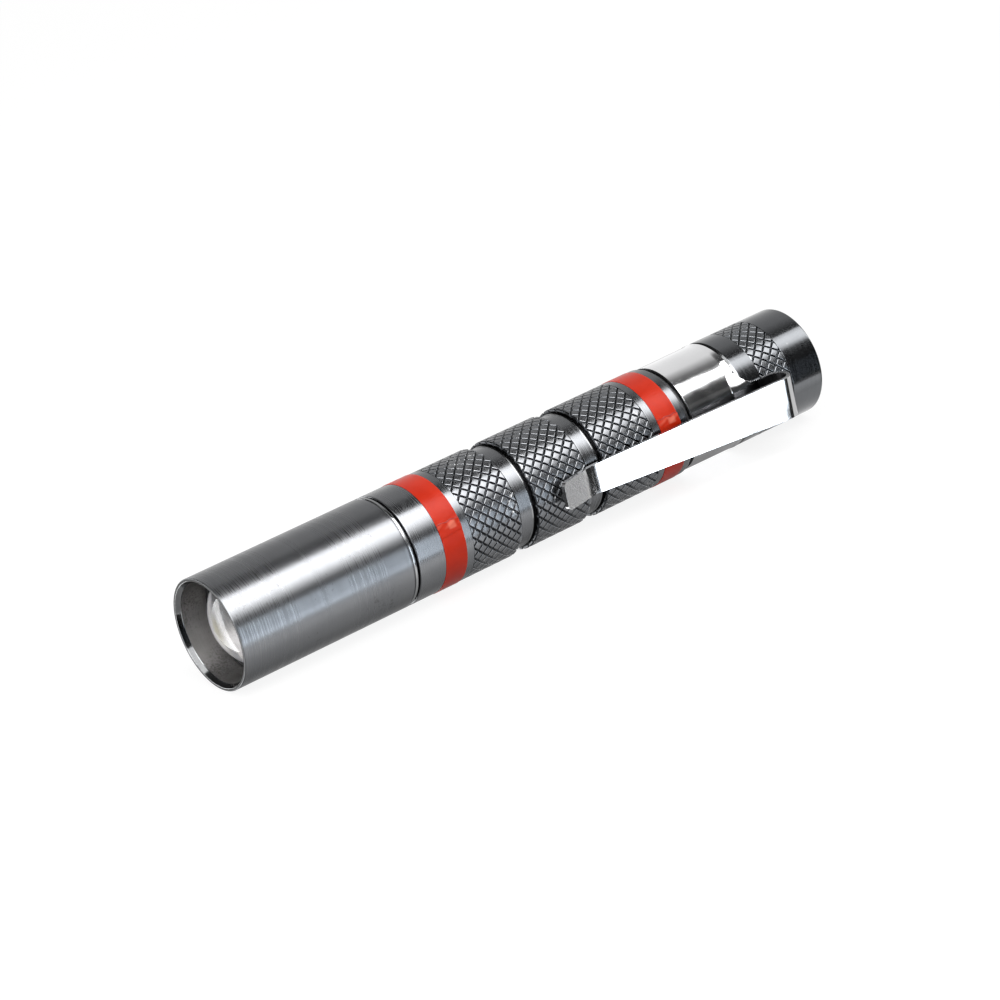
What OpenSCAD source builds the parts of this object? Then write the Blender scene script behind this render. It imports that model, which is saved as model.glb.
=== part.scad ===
// Slim penlight on one AAA cell, lying along +X with its lens at the origin.
// The head slides forward to focus, the clip turns, the tail cap unscrews and the tail button is pressed.

/* [Cell] */
// Diameter of the cell
cell_d = 10.5; // [9:0.1:14]
// Length of the cell
cell_len = 44.5; // [38:0.5:60]

/* [Head] */
// Length of the sliding head
head_len = 25.07; // [22:0.01:30]
// Wall of the head round its guide bore
head_wall = 0.5; // [0.4:0.05:1.5]
// Gap between the head and the barrel when the head is back
head_gap = 0.23; // [0.1:0.01:1]
// Forward travel of the head
zoom_travel = 6; // [3:0.1:7]
// Width of the ledge in front of the lens
lens_ledge = 0.25; // [0.15:0.05:0.6]
// Distance of the dome's top behind the rim
lens_recess = 1.3; // [0.5:0.1:3]
// Height of the lens dome
dome_h = 3.42; // [1.5:0.02:4.5]

/* [Barrel] */
// Wall of the tube that the head slides on
tube_wall = 0.7; // [0.5:0.05:1.2]
// Plain collar ahead of the front band
collar_len = 3.8; // [2:0.1:8]
// Width of each coloured band
band_w = 3.15; // [1.5:0.05:5]
// How far a band stands above the metal
band_proud = 0.05; // [0.02:0.01:0.2]
// Depth of the recess under a band
band_recess = 0.15; // [0.05:0.01:0.25]
// Plain land between a band and the knurl
band_land = 0.95; // [0.5:0.05:3]

/* [Knurl] */
// Length of the front knurl, the other two share what is left
front_knurl_len = 7.5; // [4:0.1:12]
// Distance between neighbouring knurl lines, along the barrel
knurl_pitch = 1.46; // [1:0.02:2.5]
// Depth of the knurl lines
knurl_depth = 0.26; // [0.1:0.01:0.35]
// Width of the finger grooves between the knurls
groove_w = 2.45; // [1:0.05:4]
// Depth of the finger grooves
groove_depth = 0.55; // [0.36:0.01:0.7]

/* [Clip] */
// Length of the clip's sleeve
sleeve_len = 8.3; // [5:0.1:14]
// Thickness of the clip's sheet
sheet_t = 0.5; // [0.3:0.05:0.6]
// Gap between the tab and the tail cap
tab_gap = 0.27; // [0.2:0.01:1.2]
// Outer radius of the rear fold
fold_r = 1.85; // [1.2:0.05:3]
// Reach of the tab behind the sleeve, to the fold's centre
tab_reach = 3.65; // [2.8:0.05:6]
// Width of the arm at the fold
arm_rear_w = 5.2; // [3:0.1:7]
// Width of the arm at the front bend
arm_front_w = 3.6; // [2.4:0.1:6]
// Length of the arm, from the fold's centre to the front bend
arm_len = 28.5; // [15:0.1:36]
// Gap between the bend and the barrel
arm_gap = 0.1; // [0.1:0.01:0.6]
// Length of the flared lip
lip_len = 4.4; // [2:0.1:8]
// Angle of the flared lip away from the barrel
lip_angle = 13; // [5:1:25]

/* [Tail cap] */
// Wall of the tail cap round the neck
cap_wall = 0.75; // [0.6:0.01:1.2]
// Plain ring ahead of the cap's knurl
cap_ring_len = 3.05; // [1:0.05:5]
// Length of the cap's knurl
cap_knurl_len = 4.75; // [2:0.05:7]
// Thread pitch of the tail cap
cap_pitch = 0.8; // [0.5:0.05:1.25]
// Diameter of the push button's crown
button_d = 8.8; // [5:0.1:9.6]
// Travel of the push button
button_travel = 1.2; // [0.5:0.1:2]

/* [Hidden] */

smooth = 96;
fine = 48;
over = 1;
slip = 0.08;
play = 0.1;
close_fit = 0.05;
cord_slip = 0.03;
edge = 0.15;

// Radii, built up from the cell
cell_r = cell_d / 2;
cell_slip = 0.1;
bore_r = cell_r + cell_slip;
tube_r = bore_r + tube_wall;
collar_step = 0.45;
guide_r = tube_r + collar_step;
body_r = guide_r + head_wall;
neck_wall = 0.75;
neck_r = bore_r + neck_wall;
seat_wall = 0.9;
seat_r = bore_r + seat_wall;
cap_bore_r = neck_r + slip;
cap_r = cap_bore_r + cap_wall;
sleeve_r = seat_r + slip;
sleeve_outer_r = sleeve_r + sheet_t;

// The knurl's lines in each direction, chosen so that they run at 45 degrees
knurl_lines = round(2 * PI * body_r / knurl_pitch);
knurl_root_r = body_r - knurl_depth;
core_r = body_r - groove_depth;

// Lens stack, from the rim back
window_r = guide_r - lens_ledge;
lens_edge_r = guide_r - slip;
dome_inset = 0.35;
dome_base_r = window_r - dome_inset;
dome_r = (dome_base_r ^ 2 + dome_h ^ 2) / (2 * dome_h);
dome_x = lens_recess + dome_r;
x_lens_edge = lens_recess + dome_h;
seal_cord_r = 0.3;
x_shoulder = x_lens_edge - 2 * seal_cord_r - close_fit;
lens_edge_t = 0.9;
x_retainer = x_lens_edge + lens_edge_t;
retainer_t = 1.4;
retainer_wall = 1.1;

// Head that slides on the barrel's front tube
head_collar_len = 1.9;
head_wall_bevel = 0.5;
x_head_collar = head_len - head_collar_len;
x_tube = x_head_collar - zoom_travel - play;
bead_w = 0.45;
bead_cut_w = 0.25;
bead_cut_depth = 0.12;
rim_flat = 0.15;

// Light pill, its front a set space behind the lens
led_space = 3.23;
x_pill = x_retainer + retainer_t + led_space;
pill_flange_r = guide_r - slip;
pill_shank_r = bore_r - close_fit;
pill_shank_len = 14.6;
x_pill_end = x_tube + pill_shank_len;
pill_wall = 0.7;
board_inset = 1.42;
board_r = pill_flange_r - board_inset;
board_t = 0.8;
pill_web_t = 1.6;
emitter_w = 3.45;
emitter_t = 0.5;
emitter_dome_r = 1.5;
zoom_cord_r = 0.3;
zoom_groove_w = 2 * (zoom_cord_r + play);
zoom_floor_r = guide_r - cord_slip - 2 * zoom_cord_r;
driver_inset = 1.6;
driver_t = 1;
driver_ledge = 0.2;
x_driver = x_pill_end - driver_inset;
driver_r = pill_shank_r - pill_wall + driver_ledge;
inductor_r = 2.4;
inductor_t = 3;
inductor_core_share = 0.8;
inductor_rim_share = 0.25;
wire_r = 0.2;
front_spring_r = 2;

// Cell behind the pill
contact_space = 2.83;
jacket_t = 0.15;
can_t = 0.25;
can_r = cell_r - jacket_t;
core_cell_r = can_r - can_t;
nub_r = 1.9;
nub_len = 1;
cell_rear_gap = 2;
seal_inset = 0.55;
seal_w = 0.8;
seal_outer_r = cell_r - seal_inset;
base_r = seal_outer_r - seal_w;
base_step = 0.3;
seal_t = 0.6;
x_cell = x_pill_end + contact_space;
x_can = x_cell + nub_len;
x_cell_end = x_cell + cell_len;
x_can_end = x_cell_end - base_step;
x_core_end = x_can_end - seal_t - can_t;

// Male neck of the barrel, which the cap screws on to
cap_turns = 4;
cap_cord_r = 0.2;
cap_groove_w = 2 * cap_cord_r + play;
cap_groove_inset = 0.45;
cap_groove_r = cap_bore_r - cord_slip - 2 * cap_cord_r;
neck_len = cap_groove_inset + cap_groove_w + cap_turns * cap_pitch;
x_neck_end = x_cell_end + cell_rear_gap;
x_cap = x_neck_end - neck_len;

// Places along the outside of the barrel
clip_cord_r = 0.33;
clip_ring_w = 2 * clip_cord_r + play + cord_slip;
clip_groove_depth = 0.3;
clip_groove_r = seat_r - clip_groove_depth;
rear_land = 1.15;
x_barrel = head_len + head_gap;
x_front_band = x_barrel + collar_len;
x_front_knurl = x_front_band + band_w + band_land;
x_front_groove = x_front_knurl + front_knurl_len;
x_mid_knurl = x_front_groove + groove_w;
x_sleeve_end = x_cap - 2 * play;
x_sleeve = x_sleeve_end - sleeve_len;
x_clip_ring = x_sleeve - clip_ring_w;
x_rear_band = x_clip_ring - rear_land - band_w;
knurl_len = (x_rear_band - band_land - groove_w - x_mid_knurl) / 2;
x_rear_groove = x_mid_knurl + knurl_len;
x_rear_knurl = x_rear_groove + groove_w;

// Switch stack inside the cap, from the cell back
cap_chamfer = 0.3;
cap_round = 0.25;
cap_core_drop = 0.12;
x_retainer_ring = x_neck_end + 3 * play;
ring_t = 1;
stack_r = cap_bore_r - close_fit;
switch_wall = 1.53;
ring_hole_r = stack_r - switch_wall;
switch_body_r = stack_r - switch_wall;
x_switch_board = x_retainer_ring + ring_t;
switch_board_t = 0.6;
x_switch = x_switch_board + switch_board_t;
switch_flange_t = 1;
switch_floor_t = 0.4;
plunger_r = 1.5;
plunger_dip = 0.9;
plunger_bore_depth = plunger_dip + button_travel + play;
x_washer = x_switch + switch_floor_t + plunger_bore_depth;
washer_t = 0.6;
x_cap_step = x_washer + washer_t;
step_ledge = 0.68;
cap_step_r = cap_bore_r - step_ledge;
flange_t = 0.7;
flange_slip = 0.2;
flange_r = cap_step_r - flange_slip;
press_gap = 0.25;
x_lip = x_cap_step + button_travel + press_gap + flange_t;
cap_lip_t = 1.15;
x_tail = x_lip + cap_lip_t;
button_r = button_d / 2;
button_slip = 0.1;
button_sink = 0.45;
button_round = 0.6;
tail_spring_gap = 0.8;
tail_spring_top_r = 2;
tail_spring_base_r = ring_hole_r - tail_spring_gap;

// Clip, worked out in its side view: x along the barrel, height above the axis
tab_h = cap_r + tab_gap;
x_fold = x_sleeve_end + tab_reach;
fold_mid_h = tab_h + fold_r;
bend_r = 2.2;
bend_mid_h = body_r + arm_gap + sheet_t + bend_r;
arm_reach = norm([fold_r + bend_r, arm_len]);
arm_tilt = acos((bend_mid_h - fold_mid_h) / arm_reach) - atan2(arm_len, fold_r + bend_r);
fold_mid = [x_fold, fold_mid_h];
arm_start = fold_mid + fold_r * [-sin(arm_tilt), cos(arm_tilt)];
bend_mid = arm_start + arm_len * [-cos(arm_tilt), -sin(arm_tilt)] + bend_r * [-sin(arm_tilt), cos(arm_tilt)];
lip_start = bend_mid - bend_r * [sin(lip_angle), cos(lip_angle)];
lip_end = lip_start + lip_len * [-cos(lip_angle), sin(lip_angle)];
lip_corner = 0.45;
flare_lead = 1.25;
flare_run = 2;
flare_wide = 0.6;
flare_inset = 0.03;
cap_clear = 0.15;
x_flare = x_sleeve_end - flare_lead;
x_flare_end = x_sleeve_end + flare_run;

gunmetal = [0.36, 0.38, 0.41];
head_grey = [0.5, 0.52, 0.55];
red = [0.86, 0.2, 0.12];

// Turned solid about +X: points are [radius, place along X]
module turned(points, segments = smooth) {
    rotate([0, 90, 0]) rotate_extrude($fn = segments) polygon(points);
}

// Plain cylinder about +X
module rod(r, from, to, segments = smooth) {
    translate([from, 0, 0]) rotate([0, 90, 0]) cylinder(r = r, h = to - from, $fn = segments);
}

// Flat ring about +X
module ring(outer, inner, from, to) {
    difference() {
        rod(outer, from, to);
        rod(inner, from - over, to + over);
    }
}

// Round rubber cord laid in a ring of centre radius r at x
module cord_ring(r, cord, x) {
    translate([x, 0, 0]) rotate([0, 90, 0]) rotate_extrude($fn = smooth)
        translate([r, 0]) circle(r = cord, $fn = 24);
}

// Diamond knurl: a grid of rings whose points stand high and low in turn. Rings are half a
// pitch apart, the low points join into crossing helical lines, and both ends run out low.
module knurl_band(from, len, high, low) {
    around = 2 * knurl_lines;
    rows = max(2, round(2 * len / knurl_pitch));
    peak = function(i, j) (j == 0 || j == rows || (i + j) % 2 == 0) ? low : high;
    grid = [for (j = [0 : rows]) for (i = [0 : around - 1])
        let (r = peak(i, j), a = 360 * i / around)
        [from + len * j / rows, r * cos(a), r * sin(a)]];
    at = function(i, j) j * around + (i % around);
    sides = [for (j = [0 : rows - 1]) for (i = [0 : around - 1])
        let (a = at(i, j), b = at(i + 1, j), c = at(i + 1, j + 1), d = at(i, j + 1))
        each (i + j) % 2 == 0 ? [[a, c, b], [a, d, c]] : [[a, d, b], [b, d, c]]];
    front = [[for (i = [0 : around - 1]) at(i, 0)]];
    back = [[for (i = [around - 1 : -1 : 0]) at(i, rows)]];
    polyhedron(grid, concat(sides, front, back));
}

// Open coil of round wire about +X, its radius running from r0 to r1
module coil(from, to, r0, r1, turns) {
    steps = 10 * turns;
    sides = 6;
    axial = to - from - 2 * wire_r;
    points = [for (k = [0 : steps]) for (s = [0 : sides - 1])
        let (u = k / steps, a = 360 * turns * u, w = 360 * s / sides,
            r = r0 + (r1 - r0) * u + wire_r * cos(w),
            x = from + wire_r + axial * u + wire_r * sin(w))
        [x, r * cos(a), r * sin(a)]];
    skin = [for (k = [0 : steps - 1]) for (s = [0 : sides - 1])
        let (a = k * sides + s, b = k * sides + (s + 1) % sides, c = b + sides, d = a + sides)
        each [[a, b, c], [a, c, d]]];
    start = [[for (s = [sides - 1 : -1 : 0]) s]];
    end = [[for (s = [0 : sides - 1]) steps * sides + s]];
    polyhedron(points, concat(skin, start, end));
}

// Knurled tube with its front guide tube, finger grooves, clip seat and male neck
module barrel() {
    band_floor = body_r - band_recess;
    outline = [
        [0, x_tube], [tube_r - edge, x_tube], [tube_r, x_tube + edge],
        [tube_r, x_barrel], [body_r - edge, x_barrel], [body_r, x_barrel + edge],
        [body_r, x_front_band], [band_floor, x_front_band],
        [band_floor, x_front_band + band_w], [body_r, x_front_band + band_w],
        [body_r, x_front_knurl], [core_r, x_front_knurl],
        [core_r, x_rear_band - band_land], [body_r, x_rear_band - band_land],
        [body_r, x_rear_band], [band_floor, x_rear_band],
        [band_floor, x_rear_band + band_w], [body_r, x_rear_band + band_w],
        [body_r, x_clip_ring - edge], [body_r - edge, x_clip_ring],
        [clip_groove_r, x_clip_ring], [clip_groove_r, x_sleeve - play],
        [seat_r, x_sleeve - play], [seat_r, x_cap - play],
        [neck_r, x_cap - play], [neck_r, x_cap + cap_groove_inset],
        [cap_groove_r, x_cap + cap_groove_inset],
        [cap_groove_r, x_cap + cap_groove_inset + cap_groove_w],
        [neck_r, x_cap + cap_groove_inset + cap_groove_w],
        [neck_r, x_neck_end - edge], [neck_r - edge, x_neck_end], [0, x_neck_end]];
    color(gunmetal) difference() {
        union() {
            turned(outline);
            knurl_band(x_front_knurl - play, front_knurl_len + play, body_r, knurl_root_r);
            knurl_band(x_mid_knurl, knurl_len, body_r, knurl_root_r);
            knurl_band(x_rear_knurl, knurl_len + play, body_r, knurl_root_r);
        }
        rod(bore_r, x_tube - over, x_neck_end + over);
    }
}

// Thin coloured band sunk into the barrel
module band(from) {
    color(red) ring(body_r + band_proud, body_r - band_recess, from, from + band_w);
}

module front_band() {
    band(x_front_band);
}

module rear_band() {
    band(x_rear_band);
}

// Black ring between the barrel's shoulder and the clip
module clip_o_ring() {
    color("black") cord_ring(clip_groove_r + clip_cord_r, clip_cord_r, x_clip_ring + clip_cord_r);
}

// Seal on the male neck
module cap_o_ring() {
    color("black") cord_ring(cap_groove_r + cap_cord_r, cap_cord_r,
        x_cap + cap_groove_inset + cap_groove_w / 2);
}

// Holder of the light: a flange that guides the head and a shank in the barrel's bore
module led_pill() {
    hollow_r = pill_shank_r - pill_wall;
    groove_x = (x_pill + x_tube - zoom_groove_w) / 2;
    color("goldenrod") turned([
        [0, x_pill + board_t], [board_r + slip, x_pill + board_t], [board_r + slip, x_pill],
        [pill_flange_r - edge, x_pill], [pill_flange_r, x_pill + edge],
        [pill_flange_r, groove_x], [zoom_floor_r, groove_x],
        [zoom_floor_r, groove_x + zoom_groove_w], [pill_flange_r, groove_x + zoom_groove_w],
        [pill_flange_r, x_tube], [pill_shank_r, x_tube], [pill_shank_r, x_pill_end],
        [driver_r, x_pill_end], [driver_r, x_driver], [hollow_r, x_driver],
        [hollow_r, x_pill + board_t + pill_web_t], [0, x_pill + board_t + pill_web_t]]);
}

// Rubber ring that gives the sliding head its drag
module zoom_o_ring() {
    color("black") cord_ring(zoom_floor_r + zoom_cord_r, zoom_cord_r, (x_pill + x_tube) / 2);
}

// Metal-backed board under the light
module led_board() {
    color("white") rod(board_r, x_pill, x_pill + board_t);
}

// Emitter: a square package with a clear dome
module led_emitter() {
    color("khaki") union() {
        translate([x_pill - emitter_t, -emitter_w / 2, -emitter_w / 2])
            cube([emitter_t, emitter_w, emitter_w]);
        intersection() {
            translate([x_pill - emitter_t, 0, 0]) sphere(r = emitter_dome_r, $fn = fine);
            rod(emitter_dome_r + over, x_pill - emitter_t - emitter_dome_r - over, x_pill - emitter_t / 2);
        }
    }
}

// Board that raises the cell's voltage, set in the pill's rear end
module driver_board() {
    color("darkgreen") rod(driver_r - slip / 2, x_driver, x_driver + driver_t);
}

// Coil on the driver board, inside the hollow pill
module driver_inductor() {
    color("dimgray") difference() {
        rod(inductor_r, x_driver - inductor_t, x_driver);
        ring(inductor_r + over, inductor_r * inductor_core_share,
            x_driver - inductor_t * (1 - inductor_rim_share), x_driver - inductor_t * inductor_rim_share);
    }
}

// Spring that meets the cell's positive end
module front_contact_spring() {
    color("silver") coil(x_driver + driver_t, x_cell - play, front_spring_r, nub_r / 2, 4);
}

// Sliding head: polished rim, window bore, lens shoulder, guide bore and rear collar
module head_sleeve() {
    bead_x = head_len - bead_w;
    cut_x = bead_x - bead_cut_w;
    rim_r = body_r - rim_flat;
    collar_r = tube_r + slip;
    color(head_grey) turned([
        [rim_r, 0], [body_r, 0], [body_r, cut_x], [body_r - bead_cut_depth, cut_x + bead_cut_w / 2],
        [body_r, bead_x], [body_r, head_len - edge], [body_r - edge, head_len],
        [collar_r, head_len], [collar_r, x_head_collar], [guide_r, x_head_collar],
        [guide_r, x_shoulder], [window_r, x_shoulder], [window_r, head_wall_bevel]]);
}

// Domed lens with a thin edge that the retainer holds
module lens() {
    color([0.85, 0.92, 0.97, 0.5]) union() {
        rod(lens_edge_r, x_lens_edge, x_retainer);
        intersection() {
            translate([dome_x, 0, 0]) sphere(r = dome_r, $fn = smooth);
            rod(dome_r + over, lens_recess - over, x_lens_edge + lens_edge_t / 2);
        }
    }
}

// Rubber ring between the lens and the head's shoulder
module lens_seal() {
    color("black") cord_ring(guide_r - seal_cord_r - slip / 2, seal_cord_r, x_shoulder + seal_cord_r);
}

// Ring screwed in behind the lens
module lens_retainer() {
    color("dimgray") ring(lens_edge_r, lens_edge_r - retainer_wall, x_retainer, x_retainer + retainer_t);
}

// Points of an arc about a centre
function arc(mid, r, from, to, steps) =
    [for (k = [0 : steps]) let (a = from + (to - from) * k / steps) mid + r * [cos(a), sin(a)]];

// Side view of the tab, fold, arm, bend and lip: the outer face out to the lip, the inner face back
module arm_side() {
    lip_foot = lip_end - sheet_t * [sin(lip_angle), cos(lip_angle)];
    polygon(concat(
        [[x_flare_end, tab_h]],
        arc(fold_mid, fold_r, -90, 90 + arm_tilt, 24),
        arc(bend_mid, bend_r, arm_tilt - 90, -lip_angle - 90, 8),
        [lip_end, lip_foot],
        arc(bend_mid, bend_r + sheet_t, -lip_angle - 90, arm_tilt - 90, 8),
        arc(fold_mid, fold_r - sheet_t, 90 + arm_tilt, -90, 24),
        [[x_flare_end, tab_h + sheet_t]]));
}

// Top view of the arm and lip: tapered, with the lip's corners cut
module arm_plan() {
    rear = arm_rear_w / 2;
    front = arm_front_w / 2;
    x_end = lip_end[0] - sheet_t;
    x_tip = lip_end[0];
    right = [[x_fold + fold_r + over, rear], [x_flare_end, rear], [bend_mid[0], front],
        [x_tip + lip_corner, front], [x_tip, front - lip_corner], [x_end, front - lip_corner]];
    left = [for (k = [len(right) - 1 : -1 : 0]) [right[k][0], -right[k][1]]];
    polygon(concat(right, left));
}

// Sheet that leaves the round sleeve, climbs over the cap's edge and flattens into the tab
module flare() {
    rows = 10;
    columns = 10;
    climb_share = 0.42;
    flat_share = 0.3;
    ease = function(u) let (v = min(1, max(0, u))) v * v * (3 - 2 * v);
    half = function(u) arm_rear_w / 2 + flare_wide * (1 - u) ^ 3;
    round_r = function(u) sleeve_r + flare_inset
        + (cap_r + cap_clear - sleeve_r - flare_inset) * ease(u / climb_share);
    flat = function(u) ease((u - flat_share) / (1 - flat_share));
    height = function(s, u, t) let (r = round_r(u) + t)
        (1 - flat(u)) * sqrt(r ^ 2 - s ^ 2) + flat(u) * (tab_h + flare_inset + t);
    sheet = sheet_t - 2 * flare_inset;
    points = [for (t = [0, sheet]) for (j = [0 : rows]) for (i = [0 : columns])
        let (u = j / rows, s = half(u) * (2 * i / columns - 1))
        [x_flare + (x_flare_end - x_flare + play) * u, -height(s, u, t), s]];
    at = function(k, j, i) (k * (rows + 1) + j) * (columns + 1) + i;
    quads = concat(
        [for (j = [0 : rows - 1]) for (i = [0 : columns - 1])
            each [[at(0, j, i), at(0, j, i + 1), at(0, j + 1, i + 1), at(0, j + 1, i)],
                [at(1, j, i), at(1, j + 1, i), at(1, j + 1, i + 1), at(1, j, i + 1)]]],
        [for (j = [0 : rows - 1])
            each [[at(0, j, 0), at(0, j + 1, 0), at(1, j + 1, 0), at(1, j, 0)],
                [at(0, j, columns), at(1, j, columns), at(1, j + 1, columns), at(0, j + 1, columns)]]],
        [for (i = [0 : columns - 1])
            each [[at(0, 0, i), at(1, 0, i), at(1, 0, i + 1), at(0, 0, i + 1)],
                [at(0, rows, i), at(0, rows, i + 1), at(1, rows, i + 1), at(1, rows, i)]]]);
    polyhedron(points, [for (q = quads) each [[q[0], q[2], q[1]], [q[0], q[3], q[2]]]]);
}

// Clip: one folded sheet with its sleeve, flared tab, rear fold, arm, front bend and lip
module clip() {
    color("whitesmoke") union() {
        ring(sleeve_outer_r, sleeve_r, x_sleeve, x_sleeve_end);
        flare();
        intersection() {
            rotate([180, 0, 0]) linear_extrude(2 * arm_rear_w, center = true) arm_side();
            rotate([90, 0, 0]) linear_extrude(2 * fold_mid_h) arm_plan();
        }
    }
}

// Steel can of the cell, with its positive nub in front and a recess behind
module cell_can() {
    color("lightgray") difference() {
        turned([
            [0, x_cell], [nub_r - edge, x_cell], [nub_r, x_cell + edge], [nub_r, x_can],
            [can_r - edge, x_can], [can_r, x_can + edge], [can_r, x_can_end],
            [seal_outer_r, x_can_end], [seal_outer_r, x_can_end - seal_t], [0, x_can_end - seal_t]]);
        rod(core_cell_r, x_can + can_t, x_core_end);
    }
}

// Packed powders inside the can
module cell_core() {
    color("dimgray") rod(core_cell_r - close_fit, x_can + can_t, x_core_end);
}

// Negative plate of the cell
module cell_base() {
    color("silver") rod(base_r, x_can_end - seal_t, x_cell_end);
}

// Sealing ring round the negative plate
module cell_seal() {
    color("ivory") ring(seal_outer_r, base_r, x_can_end - seal_t, x_can_end);
}

// Plain printed film round the can
module cell_jacket() {
    color("steelblue") ring(cell_r, can_r, x_can + edge, x_can_end);
}

// Screw-on tail cap: ring, knurl and collar outside, bore, step and button hole inside
module tail_cap() {
    x_knurl = x_cap + cap_ring_len;
    x_collar = x_knurl + cap_knurl_len;
    root_r = cap_r - knurl_depth;
    cap_core_r = root_r - cap_core_drop;
    hole_r = button_r + button_slip;
    color(gunmetal) difference() {
        union() {
            turned([
                [0, x_cap], [cap_r - cap_chamfer, x_cap], [cap_r, x_cap + cap_chamfer],
                [cap_r, x_knurl], [cap_core_r, x_knurl], [cap_core_r, x_collar],
                [cap_r, x_collar], [cap_r, x_tail - cap_round], [cap_r - cap_round, x_tail], [0, x_tail]]);
            knurl_band(x_knurl - play, cap_knurl_len + 2 * play, cap_r, root_r);
        }
        rod(cap_bore_r, x_cap - over, x_cap_step);
        rod(cap_step_r, x_cap_step - over, x_lip);
        rod(hole_r, x_lip - over, x_tail + over);
    }
}

// Threaded ring that clamps the switch into the cap
module switch_retainer() {
    color("goldenrod") ring(stack_r, ring_hole_r, x_retainer_ring, x_switch_board);
}

// Contact board of the switch
module switch_board() {
    color("darkgreen") rod(stack_r, x_switch_board, x_switch);
}

// Conical spring that pushes the cell forward
module tail_spring() {
    color("silver") coil(x_cell_end + play, x_switch_board, tail_spring_top_r, tail_spring_base_r, 4);
}

// Plastic body of the switch, bored for the plunger
module switch_housing() {
    color("dimgray") difference() {
        union() {
            rod(switch_body_r, x_switch, x_washer);
            rod(stack_r, x_washer - switch_flange_t, x_washer);
        }
        rod(plunger_r + slip, x_washer - plunger_bore_depth, x_washer + over);
    }
}

// Washer between the switch and the cap's step
module button_washer() {
    color("black") ring(stack_r, plunger_r + 3 * slip, x_washer, x_cap_step);
}

// Push button, held in by its flange behind the cap's rear wall
module tail_button() {
    x_crown = x_tail - button_sink;
    color("black") turned([
        [0, x_lip - flange_t], [flange_r, x_lip - flange_t], [flange_r, x_lip],
        [button_r, x_lip], [button_r, x_crown - button_round],
        [button_r - button_round, x_crown], [0, x_crown]]);
}

// Stem that carries the press into the switch
module switch_plunger() {
    color("gray") rod(plunger_r, x_washer - plunger_dip, x_lip - flange_t, fine);
}

barrel();
front_band();
rear_band();
clip_o_ring();
cap_o_ring();
led_pill();
zoom_o_ring();
led_board();
led_emitter();
driver_board();
driver_inductor();
front_contact_spring();
head_sleeve();
lens();
lens_seal();
lens_retainer();
clip();
cell_can();
cell_core();
cell_base();
cell_seal();
cell_jacket();
tail_cap();
switch_retainer();
switch_board();
tail_spring();
switch_housing();
button_washer();
tail_button();
switch_plunger();
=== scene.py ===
import bpy
import numpy as np
from mathutils import Matrix, Vector


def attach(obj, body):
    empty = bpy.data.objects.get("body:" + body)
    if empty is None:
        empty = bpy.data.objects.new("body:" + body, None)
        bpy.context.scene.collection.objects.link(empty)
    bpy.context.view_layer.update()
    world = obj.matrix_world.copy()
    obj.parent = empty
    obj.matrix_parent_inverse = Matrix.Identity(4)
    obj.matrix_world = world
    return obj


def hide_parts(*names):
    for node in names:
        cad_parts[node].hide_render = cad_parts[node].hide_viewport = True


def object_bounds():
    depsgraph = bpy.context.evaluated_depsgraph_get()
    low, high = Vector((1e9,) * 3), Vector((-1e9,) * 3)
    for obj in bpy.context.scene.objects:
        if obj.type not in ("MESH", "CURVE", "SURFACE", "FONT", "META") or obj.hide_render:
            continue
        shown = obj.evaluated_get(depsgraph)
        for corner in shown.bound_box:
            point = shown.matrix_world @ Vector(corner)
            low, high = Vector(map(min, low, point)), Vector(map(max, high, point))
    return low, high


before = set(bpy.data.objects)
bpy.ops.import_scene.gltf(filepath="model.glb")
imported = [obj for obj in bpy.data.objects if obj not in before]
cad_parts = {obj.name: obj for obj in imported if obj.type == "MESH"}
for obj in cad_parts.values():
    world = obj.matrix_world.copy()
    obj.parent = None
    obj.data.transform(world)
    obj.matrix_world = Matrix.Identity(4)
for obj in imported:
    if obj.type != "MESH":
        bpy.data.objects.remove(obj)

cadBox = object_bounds()
mm = 0.001  # every size below is in millimetres, along the barrel from the rim

scene = bpy.context.scene
scene.view_settings.view_transform = "Standard"


view = {
    "place": (-195.36, -360.50, 160.08),
    "right": (0.7726, -0.6013, -0.2041),
    "up": (0.36889, 0.1635, 0.9146),
    "back": (-0.51674, -0.7821, 0.3482),
    "lens": 138.57,
}

cameraData = bpy.data.cameras.new("camera")
cameraData.lens = view["lens"]
cameraData.sensor_width = 36
cameraData.clip_start = 0.01
cameraObject = bpy.data.objects.new("camera", cameraData)
turn = Matrix((view["right"], view["up"], view["back"])).transposed()
cameraObject.matrix_world = Matrix.Translation([v * mm for v in view["place"]]) @ turn.to_4x4()
scene.collection.objects.link(cameraObject)
scene.camera = cameraObject


def feed(tree, node, values):
    # Fills a node's sockets: from another node's first output, from a socket, or with a plain value
    for key, value in values.items():
        start = value.outputs[0] if isinstance(value, bpy.types.Node) else value
        if isinstance(start, bpy.types.NodeSocket):
            tree.links.new(start, node.inputs[key])
        else:
            node.inputs[key].default_value = start
    return node


def add(tree, kind, values=None, **settings):
    # One shader node: settings are its own options, values go to its sockets
    node = tree.nodes.new("ShaderNode" + kind)
    for key, value in settings.items():
        setattr(node, key, value)
    return feed(tree, node, values or {})


def calc(tree, operation, *values):
    return add(tree, "Math", dict(enumerate(values)), operation=operation)


def backgroundRays(tree):
    # 1 for a ray that the camera, a gloss or a clear body sends out, 0 for light that falls on things
    path = add(tree, "LightPath").outputs
    either = calc(tree, "MAXIMUM", path["Is Camera Ray"], path["Is Glossy Ray"])
    return calc(tree, "MAXIMUM", either, path["Is Transmission Ray"])


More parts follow.
